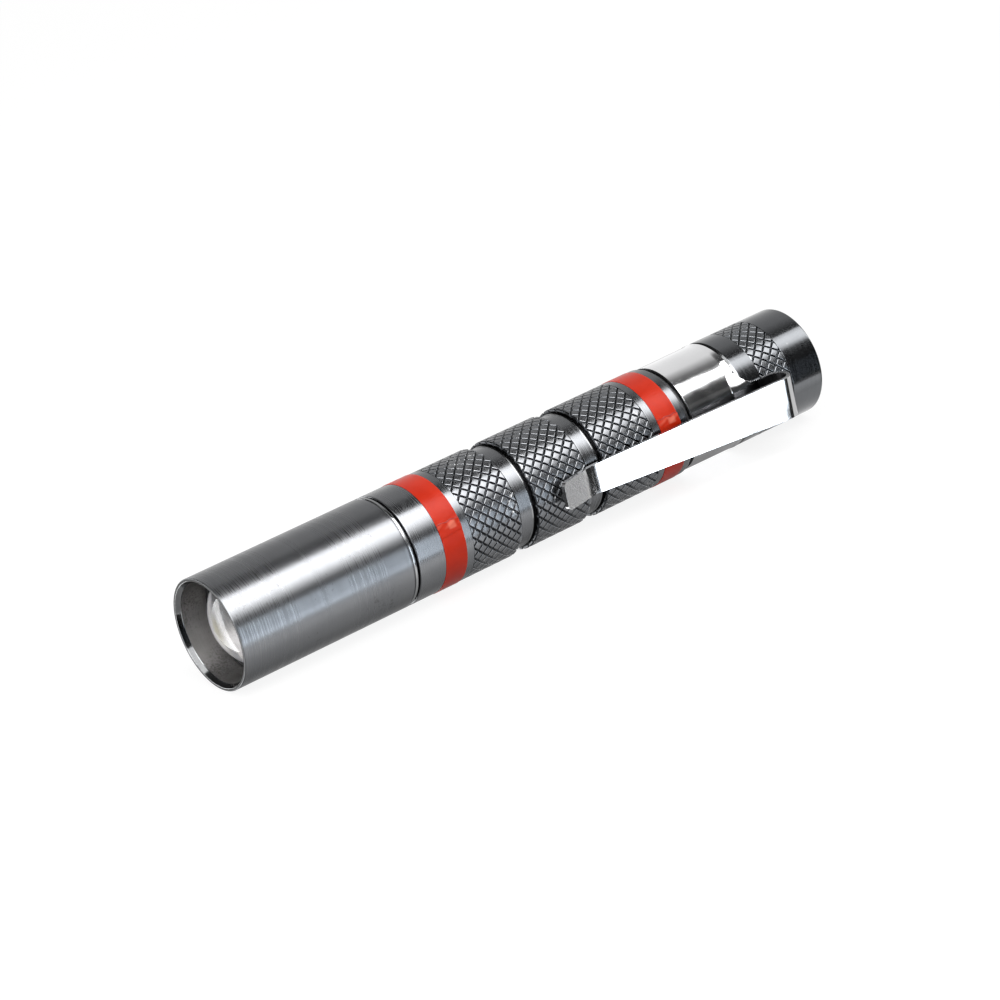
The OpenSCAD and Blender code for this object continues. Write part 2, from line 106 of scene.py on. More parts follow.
studio = {
    "roomLevel": 0.5,
    "axisX": 45.0,           # the lamps stand round this point of the barrel's axis
    "over": {"angle": 60, "distance": 450, "width": 220, "length": 700, "ahead": 120,
             "level": 1.8, "colour": (1.0, 0.99, 0.98)},
    "side": {"angle": 12, "distance": 520, "width": 160, "length": 400, "ahead": -200,
             "level": 3.1, "colour": (0.97, 0.98, 1.0)},
    "front": {"place": (-420.0, -60.0, 130.0), "width": 300, "length": 300, "level": 3.0,
              "colour": (1.0, 1.0, 1.0)},
    "floor": {"half": 3000, "drop": 0.05, "glow": 0.86, "matt": 0.22},
}

world = bpy.data.worlds.new("room")
scene.world = world
world.use_nodes = True
worldTree = world.node_tree
worldTree.nodes.clear()
seen = backgroundRays(worldTree)
level = add(worldTree, "MapRange", {"Value": seen, "To Min": studio["roomLevel"], "To Max": 1.0})
roomLight = add(worldTree, "Background", {"Color": (1, 1, 1, 1), "Strength": level})
add(worldTree, "OutputWorld", {"Surface": roomLight})


def softBox(name, s, place, turn):
    # A lamp that gloss doesn't see: the cards further down are what shows in the metal
    data = bpy.data.lights.new(name, "AREA")
    data.shape = "RECTANGLE"
    data.size = s["length"] * mm
    data.size_y = s["width"] * mm
    data.color = s["colour"]
    data.energy = s["level"] * np.pi * data.size * data.size_y
    lamp = bpy.data.objects.new(name, data)
    lamp.matrix_world = Matrix.Translation(place * mm) @ turn.to_4x4()
    lamp.visible_glossy = False
    scene.collection.objects.link(lamp)


def stripLamp(name, s):
    # Lies along the barrel, at an angle above the horizon on the camera's side
    a = np.radians(s["angle"])
    inward = np.array((0.0, np.cos(a), -np.sin(a)))
    along = np.array((1.0, 0.0, 0.0))
    rows = (along, np.cross(-inward, along), -inward)
    place = np.array((studio["axisX"] + s["ahead"], 0.0, 0.0)) - inward * s["distance"]
    softBox(name, s, place, Matrix([list(r) for r in rows]).transposed())


stripLamp("overLamp", studio["over"])
stripLamp("sideLamp", studio["side"])
away = Vector(studio["front"]["place"])      # the third looks into the head
softBox("frontLamp", studio["front"], away, away.to_track_quat("Z", "Y").to_matrix())

# Cards round the part, which only gloss sees. Their light goes by the angle above the horizon on the
# camera's side (0 in front, 90 overhead, 180 behind) and by the distance along the barrel.
cards = {
    "radius": 900, "from": -1800, "to": 3600, "step": 20, "far": (-7000, -4500, -3000, -2400, -2000),
    "angles": (-90, -56, -42, -26, -20, 12, 16, 28, 70, 78, 88, 96, 104, 112, 144, 160, 176, 184, 205, 270),
    "levels": (1.08, 1.1, 1.5, 1.7, 0.6, 0.02, 0.02, 0.02, 0.10, 0.12, 0.20, 0.40, 0.57, 0.69, 0.76, 0.84,
               0.97, 1.0, 0.95, 1.08),
    "dimAbove": {"angles": (76, 80, 98, 108), "share": ((480, 640, 683), (0.3, 0.6, 1.0))},
    "softBox": {"bottom": ((480, 537, 590, 640, 685, 700, 724), (25, 25, 36, 44, 51, 50, 43)),
                "fade": ((480, 590, 690), (21, 19, 10)),
                "top": ((480, 640, 665, 705, 716), (75.5, 75.5, 70, 70, 77.5)),
                "level": ((480, 576, 724), (8.5, 5.2, 4.4))},
    "front": {"angles": (-26, -20, 9, 17),
              "level": ((-900, 0, 310, 450, 480, 515, 537, 575, 600, 685),
                        (1.2, 1.6, 8.0, 6.8, 4.9, 2.3, 1.4, 0.2, 0.1, 0.02)),
              "tint": (-0.09, 0.0, 0.09)},
    "gap": {"angles": (15, 32), "level": ((450, 540, 600, 660), (0.55, 0.4, 0.2, 0.02))},
    "under": {"angles": (-40, -100, -160, -175),
              "level": ((200, 425, 450, 515, 537, 600, 690, 712, 724, 740),
                        (0.3, 0.3, 0.7, 0.55, 0.3, 0.3, 0.2, 0.5, 1.15, 1.15))},
    # Small cards: x from and to, angle from and to, level. The first four show in the head's polished
    # rim, the others mostly in the clip: its sleeve, arm, bend, fold and lip.
    "patches": ((-1700, 60, 183, 311, 0.36), (-1000, -500, -49, 32, 0.01), (-1000, -420, 32, 97, 1.8),
                (-700, 80, 97, 176, 0.04), (660, 720, 18, 27, 0.10), (-500, 310, -14, 24, 0.04),
                (435, 545, -25.5, -21.8, 0.02), (545, 706, -32, -21.8, 0.02), (706, 738, -26.6, -24, 0.02),
                (738, 801, -34, -21.8, 0.02), (800, 1230, -60, -21, 0.02),
                (1230, 3600, -160, -21, 0.55)),
    # A ring of light ahead of the head, which the lens shows as its pale crescent
    "ring": {"towards": (-0.346, 0.884, -0.314), "reach": (8, 23, 32, 36), "level": 6.0},
}


def cardLight(x, angle):
    k = cards
    turned = np.where(angle > 180, angle - 360, angle)
    grey = np.interp(angle, k["angles"], k["levels"])
    dim = k["dimAbove"]
    grey = grey * (1 + (np.interp(x, *dim["share"]) - 1) * np.interp(angle, dim["angles"], (0, 1, 1, 0)))
    box = k["softBox"]
    share = np.clip((angle - np.interp(x, *box["bottom"])) / np.interp(x, *box["fade"]), 0, 1)
    inBox = (angle > 20) & (angle < np.interp(x, *box["top"]))
    grey = np.where(inBox, np.maximum(grey, share * np.interp(x, *box["level"])), grey)
    front = k["front"]
    inFront = np.interp(angle, front["angles"], (0, 1, 1, 0))
    grey = grey + (np.interp(x, *front["level"]) - grey) * inFront
    gap = k["gap"]
    inGap = (angle > gap["angles"][0]) & (angle < gap["angles"][1])
    grey = np.where(inGap, np.maximum(grey, np.interp(x, *gap["level"])), grey)
    under = k["under"]
    below = np.interp(-turned, [-a for a in under["angles"]], (0, 1, 1, 0)) * (x > -200) * (x < 1230)
    grey = grey + (np.interp(x, *under["level"]) - grey) * below
    for x0, x1, a0, a1, level in k["patches"]:
        inside = (angle > a0) & (angle < a1) | (turned > a0) & (turned < a1) | (angle + 360 < a1)
        grey = np.where(inside & (x > x0) & (x < x1), level, grey)
    ring = k["ring"]
    way = np.stack((x / k["radius"], -np.cos(np.radians(angle)), np.sin(np.radians(angle))), -1)
    away = np.degrees(np.arccos(way @ np.array(ring["towards"]) / np.linalg.norm(way, axis=-1)))
    grey = np.maximum(grey, ring["level"] * np.interp(away, ring["reach"], (0, 1, 1, 0)) * (x < -180))
    return grey[..., None] * (1 + inFront[..., None] * np.array(front["tint"]))


def gridFaces(rows, columns, closed=False):
    # Quads between the rows of a grid of points whose columns go once round; closed joins its ends too
    i, j = np.meshgrid(np.arange(rows if closed else rows - 1), np.arange(columns), indexing="ij")
    iN, jN = (i + 1) % rows, (j + 1) % columns
    return np.stack((i * columns + j, i * columns + jN, iN * columns + jN, iN * columns + j), -1)


def stageSheet(name, points, faces):
    # A sheet of the set, with a material whose tree is still empty
    mesh = bpy.data.meshes.new(name)
    mesh.from_pydata(points, [], faces)
    mat = bpy.data.materials.new(name)
    mat.use_nodes = True
    mat.node_tree.nodes.clear()
    mesh.materials.append(mat)
    sheet = bpy.data.objects.new(name, mesh)
    scene.collection.objects.link(sheet)
    return sheet, mat.node_tree


def studioCard():
    # A cylinder about the barrel's axis that faces inward, its light kept in an attribute of its points
    angle = np.arange(-90, 270, 1.0)
    x = np.concatenate((cards["far"], np.arange(cards["from"], cards["to"] + 1, cards["step"])))
    xx, aa = np.meshgrid(x, np.radians(angle), indexing="ij")
    pts = np.stack((xx, -cards["radius"] * np.cos(aa), cards["radius"] * np.sin(aa)), -1).reshape(-1, 3) * mm
    faces = gridFaces(len(x), len(angle)).reshape(-1, 4)
    card, tree = stageSheet("studioCard", pts.tolist(), faces.tolist())
    light = cardLight(xx, np.degrees(aa)).reshape(-1, 3)
    light = np.concatenate((light, np.ones((len(light), 1))), 1)
    card.data.attributes.new("light", "FLOAT_COLOR", "POINT").data.foreach_set("color", light.ravel())
    for kind in ("camera", "diffuse", "shadow", "transmission", "volume_scatter"):
        setattr(card, "visible_" + kind, False)
    kept = add(tree, "Attribute", attribute_name="light").outputs["Color"]
    add(tree, "OutputMaterial", {"Surface": add(tree, "Emission", {"Color": kept, "Strength": 1.0})})


studioCard()


def paleFloor():
    # A wide sheet under the part: mostly its own glow, so that it stays white and keeps a faint shadow
    f = studio["floor"]
    w, z = f["half"] * mm, cadBox[0][2] - f["drop"] * mm
    floor, tree = stageSheet("paleFloor", [(-w, -w, z), (w, -w, z), (w, w, z), (-w, w, z)], [(0, 1, 2, 3)])
    glowLevel = calc(tree, "MULTIPLY", backgroundRays(tree), f["glow"])
    glow = add(tree, "Emission", {"Color": (1, 1, 1, 1), "Strength": glowLevel})
    matt = add(tree, "BsdfDiffuse", {"Color": (f["matt"], f["matt"], f["matt"], 1)})
    add(tree, "OutputMaterial", {"Surface": add(tree, "AddShader", {0: glow, 1: matt})})
    floor.visible_glossy = False


paleFloor()
print("camera, lamps and floor are in place")


def group(name, inputs, outputs):
    # An effect shared by several finishes: a node group that takes a place and named numbers
    tree = bpy.data.node_groups.new(name, "ShaderNodeTree")
    tree.interface.new_socket("Vector", in_out="INPUT", socket_type="NodeSocketVector")
    for key, value in inputs.items():
        tree.interface.new_socket(key, in_out="INPUT", socket_type="NodeSocketFloat").default_value = value
    for key in outputs:
        tree.interface.new_socket(key, in_out="OUTPUT", socket_type="NodeSocketFloat")
    return tree, tree.nodes.new("NodeGroupInput").outputs, tree.nodes.new("NodeGroupOutput")


def noise(tree, place, scale, detail, **more):
    return add(tree, "TexNoise", {"Vector": place, "Scale": scale, "Detail": detail, **more})


def between(tree, value, low, high, fromMin=0.0, fromMax=1.0):
    return add(tree, "MapRange", {"Value": value, "From Min": fromMin, "From Max": fromMax,
                                  "To Min": low, "To Max": high})


def latheLines():
    # Fine rings round the axis, as a turning tool leaves them: a sine along X, its pitch uneven
    tree, into, out = group("latheLines", {"LinesPerMetre": 6000.0}, ("Height", "Comb", "Shade"))
    shift = calc(tree, "MULTIPLY", noise(tree, into["Vector"], 160.0, 2.0), 0.00001)
    x = add(tree, "SeparateXYZ", {0: into["Vector"]}).outputs["X"]
    pace = calc(tree, "MULTIPLY", calc(tree, "ADD", x, shift), into["LinesPerMetre"])
    uneven = add(tree, "TexNoise", {"W": pace, "Scale": 0.8, "Detail": 0.0}, noise_dimensions="1D")
    pitch = calc(tree, "MULTIPLY_ADD", uneven, 1.2, pace)
    comb = calc(tree, "SINE", calc(tree, "MULTIPLY", pitch, 2 * np.pi))
    slow = calc(tree, "MULTIPLY", pace, 0.09)
    broad = add(tree, "TexNoise", {"W": slow, "Scale": 1.0, "Detail": 2.0}, noise_dimensions="1D")
    swing = calc(tree, "MULTIPLY", comb, broad)
    feed(tree, out, {"Height": calc(tree, "MULTIPLY_ADD", swing, 0.13, 0.5),
                     "Comb": calc(tree, "MULTIPLY_ADD", swing, 0.8, 0.5), "Shade": broad})
    return tree


def radiusMask():
    # 0 nearer the barrel's axis than Inner, 1 beyond Outer
    tree, into, out = group("radiusMask", {"Inner": 0.006, "Outer": 0.007}, ("Mask",))
    apart = add(tree, "SeparateXYZ", {0: into["Vector"]}).outputs
    across = add(tree, "CombineXYZ", {"Y": apart["Y"], "Z": apart["Z"]})
    radius = add(tree, "VectorMath", {0: across}, operation="LENGTH").outputs["Value"]
    feed(tree, out, {"Mask": between(tree, radius, 0.0, 1.0, into["Inner"], into["Outer"])})
    return tree


def specks():
    # Scattered small marks: the peaks of a fine noise, thinned out by a broad one
    tree, into, out = group("specks", {"Scale": 2500.0, "Amount": 0.35}, ("Mask",))
    fine = noise(tree, into["Vector"], into["Scale"], 2.0)
    both = calc(tree, "ADD", fine, noise(tree, into["Vector"], 220.0, 2.0))
    edge = calc(tree, "SUBTRACT", 1.3, into["Amount"])
    feed(tree, out, {"Mask": between(tree, both, 0.0, 1.0, edge, 1.5)})
    return tree


def smudge():
    # Slow uneven patches, as from handling
    tree, into, out = group("smudge", {"Scale": 150.0}, ("Mask",))
    cloud = noise(tree, into["Vector"], into["Scale"], 5.0, Roughness=0.6, Distortion=0.4)
    feed(tree, out, {"Mask": between(tree, cloud, 0.0, 1.0, 0.35, 0.68)})
    return tree


effects = {"latheLines": latheLines(), "radiusMask": radiusMask(), "specks": specks(), "smudge": smudge()}


def effect(tree, name, place, **values):
    return add(tree, "Group", {"Vector": place, **values}, node_tree=effects[name])


def newFinish(name, **constants):
    # A material with a Principled shader; constants go on the shader's own sockets
    mat = bpy.data.materials.new(name)
    mat.use_nodes = True
    tree = mat.node_tree
    shader = tree.nodes["Principled BSDF"]
    feed(tree, shader, {key.replace("_", " "): value for key, value in constants.items()})
    return mat, tree, shader, add(tree, "TexCoord").outputs["Object"]


def mixColour(tree, factor, a, b):
    a, b = ((*c, 1) if isinstance(c, tuple) else c for c in (a, b))
    return add(tree, "Mix", {0: factor, 6: a, 7: b}, data_type="RGBA").outputs[2]


def bumped(tree, height, depth, strength=1.0, **under):
    # Depth in millimetres; under is the Normal that the bump is laid over, where there is one
    return add(tree, "Bump", {"Strength": strength, "Distance": depth * mm, "Height": height, **under})


def gunmetal(name, v):
    # Hard anodised metal: grey with rings from the lathe, painted shade in its grooves, handled in patches
    mat, tree, shader, place = newFinish(name, Metallic=1.0, Anisotropic=v["stretch"],
                                         Anisotropic_Rotation=0.25)
    lines = effect(tree, "latheLines", place, LinesPerMetre=v["linesPerMetre"]).outputs
    patch = effect(tree, "smudge", place, Scale=170.0)
    dust = effect(tree, "specks", place, Scale=v["speckScale"], Amount=v["specks"])
    # Painted shade: nearer the axis than grooveR the colour turns to the darker groove colour, as shade in
    # the knurls' cuts and other grooves
    grooveShadeMask = effect(tree, "radiusMask", place, Inner=v["grooveR"] * mm, Outer=v["outerR"] * mm)
    tone = mixColour(tree, grooveShadeMask, v["grooveShadeColour"], mixColour(tree, patch, v["dark"], v["light"]))
    feed(tree, shader, {"Base Color": mixColour(tree, dust, tone, v["speckColour"]),
                        "Roughness": between(tree, lines["Comb"], *v["rough"]),
                        "Normal": bumped(tree, lines["Height"], v["lineDepth"]),
                        "Tangent": add(tree, "Tangent", direction_type="RADIAL", axis="X")})
    return mat


# Each finish's groove colour is painted shade, laid in its grooves by radius
metals = {
    "headMetal": {
        "dark": (0.168, 0.172, 0.180), "light": (0.182, 0.186, 0.193), "grooveShadeColour": (0.12, 0.12, 0.13),
        "grooveR": 6.86, "outerR": 6.92, "speckColour": (0.07, 0.07, 0.07), "speckScale": 3000.0,
        "specks": 0.05, "linesPerMetre": 2700.0, "lineDepth": 0.0006, "rough": (0.26, 0.37), "stretch": 0.75},
    "barrelMetal": {
        "dark": (0.160, 0.164, 0.172), "light": (0.176, 0.180, 0.187), "grooveShadeColour": (0.15, 0.155, 0.16),
        "grooveR": 6.1, "outerR": 6.5, "speckColour": (0.3, 0.3, 0.3), "speckScale": 2600.0,
        "specks": 0.02, "linesPerMetre": 2900.0, "lineDepth": 0.0004, "rough": (0.20, 0.28), "stretch": 0.6},
    "knurlMetal": {
        "dark": (0.150, 0.154, 0.162), "light": (0.180, 0.184, 0.192), "grooveShadeColour": (0.030, 0.032, 0.035),
        "grooveR": 6.95, "outerR": 6.988, "speckColour": (0.4, 0.4, 0.4), "speckScale": 3000.0,
        "specks": 0.10, "linesPerMetre": 7000.0, "lineDepth": 0.0006, "rough": (0.22, 0.30), "stretch": 0.3},
    "capMetal": {
        "dark": (0.128, 0.132, 0.139), "light": (0.148, 0.153, 0.160), "grooveShadeColour": (0.10, 0.10, 0.11),
        "grooveR": 6.5, "outerR": 6.7, "speckColour": (0.3, 0.3, 0.3), "speckScale": 2600.0,
        "specks": 0.02, "linesPerMetre": 6500.0, "lineDepth": 0.0005, "rough": (0.12, 0.18), "stretch": 0.5},
    "capKnurl": {
        "dark": (0.150, 0.155, 0.163), "light": (0.175, 0.180, 0.188), "grooveShadeColour": (0.03, 0.032, 0.035),
        "grooveR": 6.88, "outerR": 6.918, "speckColour": (0.35, 0.35, 0.35), "speckScale": 3000.0,
        "specks": 0.08, "linesPerMetre": 9000.0, "lineDepth": 0.0006, "rough": (0.22, 0.30), "stretch": 0.3},
    "boreMetal": {
        "dark": (0.24, 0.232, 0.228), "light": (0.34, 0.33, 0.325), "grooveShadeColour": (0.24, 0.232, 0.228),
        "grooveR": 5.0, "outerR": 5.2, "speckColour": (0.11, 0.10, 0.10), "speckScale": 4200.0,
        "specks": 0.26, "linesPerMetre": 3500.0, "lineDepth": 0.0015, "rough": (0.42, 0.52), "stretch": 0.3},
    "rimMetal": {
        "dark": (0.26, 0.265, 0.27), "light": (0.32, 0.325, 0.33), "grooveShadeColour": (0.26, 0.265, 0.27),
        "grooveR": 5.0, "outerR": 5.2, "speckColour": (0.4, 0.4, 0.4), "speckScale": 3000.0,
        "specks": 0.01, "linesPerMetre": 7000.0, "lineDepth": 0.0002, "rough": (0.08, 0.14), "stretch": 0.3},
}


def chromeSheet():
    # Polished plated sheet with a slight waviness from pressing and faint hairlines
    mat, tree, shader, place = newFinish("chromeSheet", Metallic=1.0)
    patch = effect(tree, "smudge", place, Scale=260.0)
    worn = add(tree, "Attribute", attribute_name="worn").outputs["Fac"]   # where bending has roughened it
    turned = add(tree, "Mapping", {"Vector": place, "Scale": (300.0, 9000.0, 9000.0)})
    grit = calc(tree, "MULTIPLY", noise(tree, place, 5200.0, 2.0), worn)
    wavy = bumped(tree, noise(tree, place, 260.0, 1.0), 0.012)
    hairy = bumped(tree, noise(tree, turned, 1.0, 2.0), 0.0006, Normal=wavy)
    feed(tree, shader, {"Base Color": mixColour(tree, patch, (0.93, 0.93, 0.94), (0.97, 0.97, 0.98)),
                        "Roughness": calc(tree, "MULTIPLY_ADD", worn, 0.15, between(tree, patch, 0.06, 0.11)),
                        "Normal": bumped(tree, grit, 0.02, Normal=hairy)})
    return mat


def redTape():
    # Glossy coloured film, with a painted sheen that makes it paler on the lap's creases and painted shade
    # that makes it darker along the lap's start
    mat, tree, shader, place = newFinish("redTape", Metallic=0.0, Coat_Roughness=0.15, IOR=1.28)
    patch = effect(tree, "smudge", place, Scale=240.0)
    crease = add(tree, "Attribute", attribute_name="crease").outputs["Fac"]
    tone = mixColour(tree, patch, (0.62, 0.022, 0.002), (0.70, 0.030, 0.004))
    # Painted sheen: paler red where the crease value is above 0
    tone = mixColour(tree, between(tree, crease, 0, 1), tone, (0.92, 0.22, 0.14))
    # Painted shade: near-black red where the crease value is below 0, along the lap's start
    tone = mixColour(tree, between(tree, crease, 1, 0, -1, 0), tone, (0.16, 0.004, 0.002))
    feed(tree, shader, {"Base Color": tone, "Roughness": between(tree, patch, 0.28, 0.42),
                        "Coat Weight": between(tree, patch, 0.0, 0.08),
                        "Normal": bumped(tree, noise(tree, place, 1500.0, 3.0), 0.01, 0.5)})
    return mat


def moulded(name, dark, light, rough, grainScale, grainDepth):
    # Rubber or plastic from a mould, or dull powder: two tones, a fine grain and uneven gloss
    mat, tree, shader, place = newFinish(name, Metallic=0.0)
    patch = effect(tree, "smudge", place, Scale=220.0)
    dust = effect(tree, "specks", place, Scale=grainScale, Amount=0.06)
    pale = tuple(min(1.0, c * 1.6 + 0.02) for c in light)
    feed(tree, shader, {"Base Color": mixColour(tree, dust, mixColour(tree, patch, dark, light), pale),
                        "Roughness": between(tree, patch, *rough),
                        "Normal": bumped(tree, noise(tree, place, grainScale, 4.0), grainDepth, 0.6)})
    return mat


def plainMetal(name, dark, light, rough, linesPerMetre, lineDepth):
    # Bare or plated metal of the inner parts: rings from the lathe and uneven tone
    mat, tree, shader, place = newFinish(name, Metallic=1.0)
    lines = effect(tree, "latheLines", place, LinesPerMetre=linesPerMetre).outputs
    patch = effect(tree, "smudge", place, Scale=200.0)
    feed(tree, shader, {"Base Color": mixColour(tree, patch, dark, light),
                        "Roughness": between(tree, lines["Shade"], *rough, 0.3, 0.7),
                        "Normal": bumped(tree, lines["Height"], lineDepth)})
    return mat


def clearLens():
    # Clear moulded acrylic: plain transmission, with only its gloss varied a little
    mat, tree, shader, place = newFinish("clearLens", Metallic=0.0, IOR=1.49, Transmission_Weight=1.0)
    patch = effect(tree, "smudge", place, Scale=300.0)
    shadow = add(tree, "LightPath").outputs["Is Shadow Ray"]    # falls straight through, to light the inside
    feed(tree, shader, {"Base Color": mixColour(tree, patch, (0.97, 0.98, 1.0), (1.0, 1.0, 1.0)),
                        "Roughness": between(tree, patch, 0.0, 0.02),
                        "Alpha": calc(tree, "SUBTRACT", 1.0, shadow)})
    return mat


def printedBoard(name, mask, copper, rings):
    # Circuit board: solder mask with tinned rings and pads at set distances from the axis
    mat, tree, shader, place = newFinish(name, Metallic=0.0)
    patch = effect(tree, "smudge", place, Scale=500.0)
    pads = 0.0
    for inner, outer in rings:
        past = effect(tree, "radiusMask", place, Inner=inner * mm, Outer=(inner + 0.05) * mm)
        short = effect(tree, "radiusMask", place, Inner=outer * mm, Outer=(outer + 0.05) * mm)
        pads = calc(tree, "MAXIMUM", pads, calc(tree, "SUBTRACT", past, short))
    feed(tree, shader, {"Base Color": mixColour(tree, pads, mixColour(tree, patch, *mask), copper),
                        "Metallic": pads, "Roughness": between(tree, patch, 0.3, 0.45)})
    return mat


# Rubber, plastic and powder: dark and light tone, roughness from and to, scale and depth of the grain
mouldings = {
    "blackRubber": ((0.012, 0.012, 0.013), (0.022, 0.022, 0.023), (0.45, 0.6), 5000.0, 0.004),
    "buttonRubber": ((0.018, 0.018, 0.019), (0.03, 0.03, 0.031), (0.55, 0.7), 4500.0, 0.008),
    "darkPlastic": ((0.03, 0.03, 0.032), (0.05, 0.05, 0.052), (0.35, 0.5), 3500.0, 0.005),
    "nylon": ((0.62, 0.60, 0.54), (0.72, 0.70, 0.64), (0.4, 0.5), 3000.0, 0.004),
    "phosphor": ((0.80, 0.70, 0.30), (0.86, 0.78, 0.38), (0.5, 0.6), 9000.0, 0.004),
    "ferrite": ((0.035, 0.033, 0.032), (0.06, 0.057, 0.055), (0.5, 0.7), 6000.0, 0.01),
    "cellPowder": ((0.03, 0.03, 0.03), (0.07, 0.07, 0.07), (0.7, 0.85), 5000.0, 0.02),
    "cellFilm": ((0.05, 0.13, 0.26), (0.07, 0.17, 0.32), (0.2, 0.3), 2500.0, 0.002),
}

# Bare and plated metals: dark and light tone, roughness from and to, lines per metre and their depth
bareMetals = {
    "brass": ((0.62, 0.42, 0.16), (0.74, 0.53, 0.23), (0.22, 0.34), 6000.0, 0.006),
    "bareMetal": ((0.86, 0.86, 0.90), (0.93, 0.93, 0.96), (0.30, 0.42), 5000.0, 0.001),
    "cutEdge": ((0.34, 0.34, 0.345), (0.48, 0.48, 0.485), (0.18, 0.30), 5000.0, 0.002),
    # The near-black metal below paints the shade in the finger grooves' cuts and inside the clip's fold
    "paintedShadeMetal": ((0.035, 0.035, 0.037), (0.07, 0.07, 0.074), (0.3, 0.45), 4000.0, 0.003),
    "springSteel": ((0.55, 0.55, 0.56), (0.68, 0.68, 0.69), (0.18, 0.28), 9000.0, 0.001),
    "canSteel": ((0.52, 0.52, 0.53), (0.63, 0.63, 0.64), (0.22, 0.34), 3000.0, 0.002),
}

# Boards: solder mask's two tones, colour of the pads, and the pads' inner and outer radii
boards = {
    "whiteBoard": (((0.74, 0.74, 0.72), (0.82, 0.82, 0.80)), (0.70, 0.62, 0.45), ((3.2, 3.9),)),
    "greenBoard": (((0.02, 0.10, 0.04), (0.03, 0.15, 0.06)), (0.72, 0.60, 0.38), ((0.0, 1.3), (3.1, 3.8))),
}

finish = {"chromeSheet": chromeSheet(), "redTape": redTape(), "clearLens": clearLens()}
finish.update({name: gunmetal(name, values) for name, values in metals.items()})
for make, table in ((moulded, mouldings), (plainMetal, bareMetals), (printedBoard, boards)):
    finish.update({name: make(name, *values) for name, values in table.items()})
print("finishes are made:", len(finish))


def ease(u):
    u = np.clip(u, 0.0, 1.0)
    return u * u * (3.0 - 2.0 * u)


def piece(name, points, faces, body, look, stands, faceLooks=None, looks=()):
    # Puts points (mm) and faces into a mesh, gives it its finish and lets it ride on its body
    mesh = bpy.data.meshes.new(name)
    mesh.from_pydata((np.asarray(points) * mm).tolist(), [], faces)
    mesh.polygons.foreach_set("use_smooth", np.ones(len(mesh.polygons), dtype=bool))
    for key in (look, *looks):
        mesh.materials.append(finish[key])
    if faceLooks is not None:
        mesh.polygons.foreach_set("material_index", np.asarray(faceLooks, dtype=np.int32))
    mesh.update()
    obj = bpy.data.objects.new(name, mesh)
    scene.collection.objects.link(obj)
    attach(obj, body)
    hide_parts(*stands)
    return obj


def roundedOutline(corners, closed=True, steps=5):
    # Corner rows are (x, radius, setback, look, rows). A corner turns on a parabola between the points
    # that lie its setback away on both sides, and each straight gets close guard points at its ends.
    pts = np.array([c[:2] for c in corners], dtype=float)
    n = len(corners)
    full = [(*c, *(0.0, 0, 1)[len(c) - 2:]) for c in corners]     # the last three may be left out
    out, looks = [], []
    for k, (_, _, setback, look, rows) in enumerate(full):
        here = pts[k]
        before, after = pts[(k - 1) % n], pts[(k + 1) % n]
        if setback > 0:
            p0 = here + (before - here) * setback / np.linalg.norm(before - here)
            p2 = here + (after - here) * setback / np.linalg.norm(after - here)
            u = np.linspace(0, 1, steps + 1)[:, None]
            arc = (1 - u) ** 2 * p0 + 2 * u * (1 - u) * here + u ** 2 * p2
        else:
            arc = here[None, :]
        out.append(arc)
        looks.append(np.full(len(arc), look))
        if closed or k < n - 1:
            nextSetback = full[(k + 1) % n][2]
            way = after - here
            length = np.linalg.norm(way)
            free = length - setback - nextSetback
            if free > 0.02:
                guard = min(0.06, 0.3 * free)
                s = np.concatenate(([setback + guard],
                                    np.linspace(setback, length - nextSetback, rows + 1)[1:-1],
                                    [length - nextSetback - guard]))
                s = np.unique(np.round(s, 5))
                out.append(here + way * (s / length)[:, None])
                looks.append(np.full(len(s), look))
    return np.concatenate(out), np.concatenate(looks)


def spun(outline, looks, segments, closed, relief=None):
    # Point = (x, radius * cos(angle), radius * sin(angle)); relief(x, angle, radius) is added to the radius.
    # An outline that isn't closed starts and ends on the axis, where one point closes it.
    x, r = outline[:, 0], outline[:, 1]
    xNext, rNext = np.roll(x, -1), np.roll(r, -1)
    if np.sum(x * rNext - xNext * r) > 0:      # runs the wrong way round for outward faces
        x, r = x[::-1], r[::-1]
        looks = np.roll(looks[::-1], -1) if closed else looks[::-1]
    a = np.linspace(0, 2 * np.pi, segments, endpoint=False)
    if not closed:
        x0, x1 = x[0], x[-1]
        x, r, looks = x[1:-1], r[1:-1], looks[1:-1]
    xx, aa = np.meshgrid(x, a, indexing="ij")
    rr = np.repeat(r[:, None], segments, axis=1)
    if relief is not None:
        rr = rr + relief(xx, aa, rr)
    pts = np.stack((xx, rr * np.cos(aa), rr * np.sin(aa)), -1).reshape(-1, 3)
    m = len(x)
    faces = gridFaces(m, segments, closed).reshape(-1, 4).tolist()
    faceLooks = np.repeat(looks[:m if closed else m - 1], segments)
    if not closed:
        base = len(pts)
        j = np.arange(segments)
        jn = (j + 1) % segments
        pts = np.concatenate((pts, [[x0, 0, 0], [x1, 0, 0]]))
        last = (m - 1) * segments
        faces += np.stack((np.full(segments, base), jn, j), -1).tolist()
        faces += np.stack((np.full(segments, base + 1), last + j, last + jn), -1).tolist()
        faceLooks = np.concatenate((faceLooks, np.full(segments, looks[0]), np.full(segments, looks[-1])))
    return pts, faces, faceLooks


def turnedPiece(name, corners, body, look, stands, segments, looks=(), relief=None):
    outline, tags = roundedOutline(corners)
    pts, faces, faceLooks = spun(outline, tags, segments, True, relief)
    return piece(name, pts, faces, body, look, stands, faceLooks, looks)


def spunPiece(name, outline, segments, body, look, stands, closed=False):
    pts, faces, faceLooks = spun(outline, np.zeros(len(outline), dtype=int), segments, closed)
    piece(name, pts, faces, body, look, stands, faceLooks)


# Sliding head
head = {
    "outerR": 7.0, "rimR": 6.64, "windowR": 6.26, "bevelX": 0.55, "guideR": 6.5, "collarR": 6.13,
    "shoulderX": 4.07, "collarX": 23.17, "cutX": 24.37, "cutDepth": 0.12, "beadX": 24.62, "endX": 25.07,
}


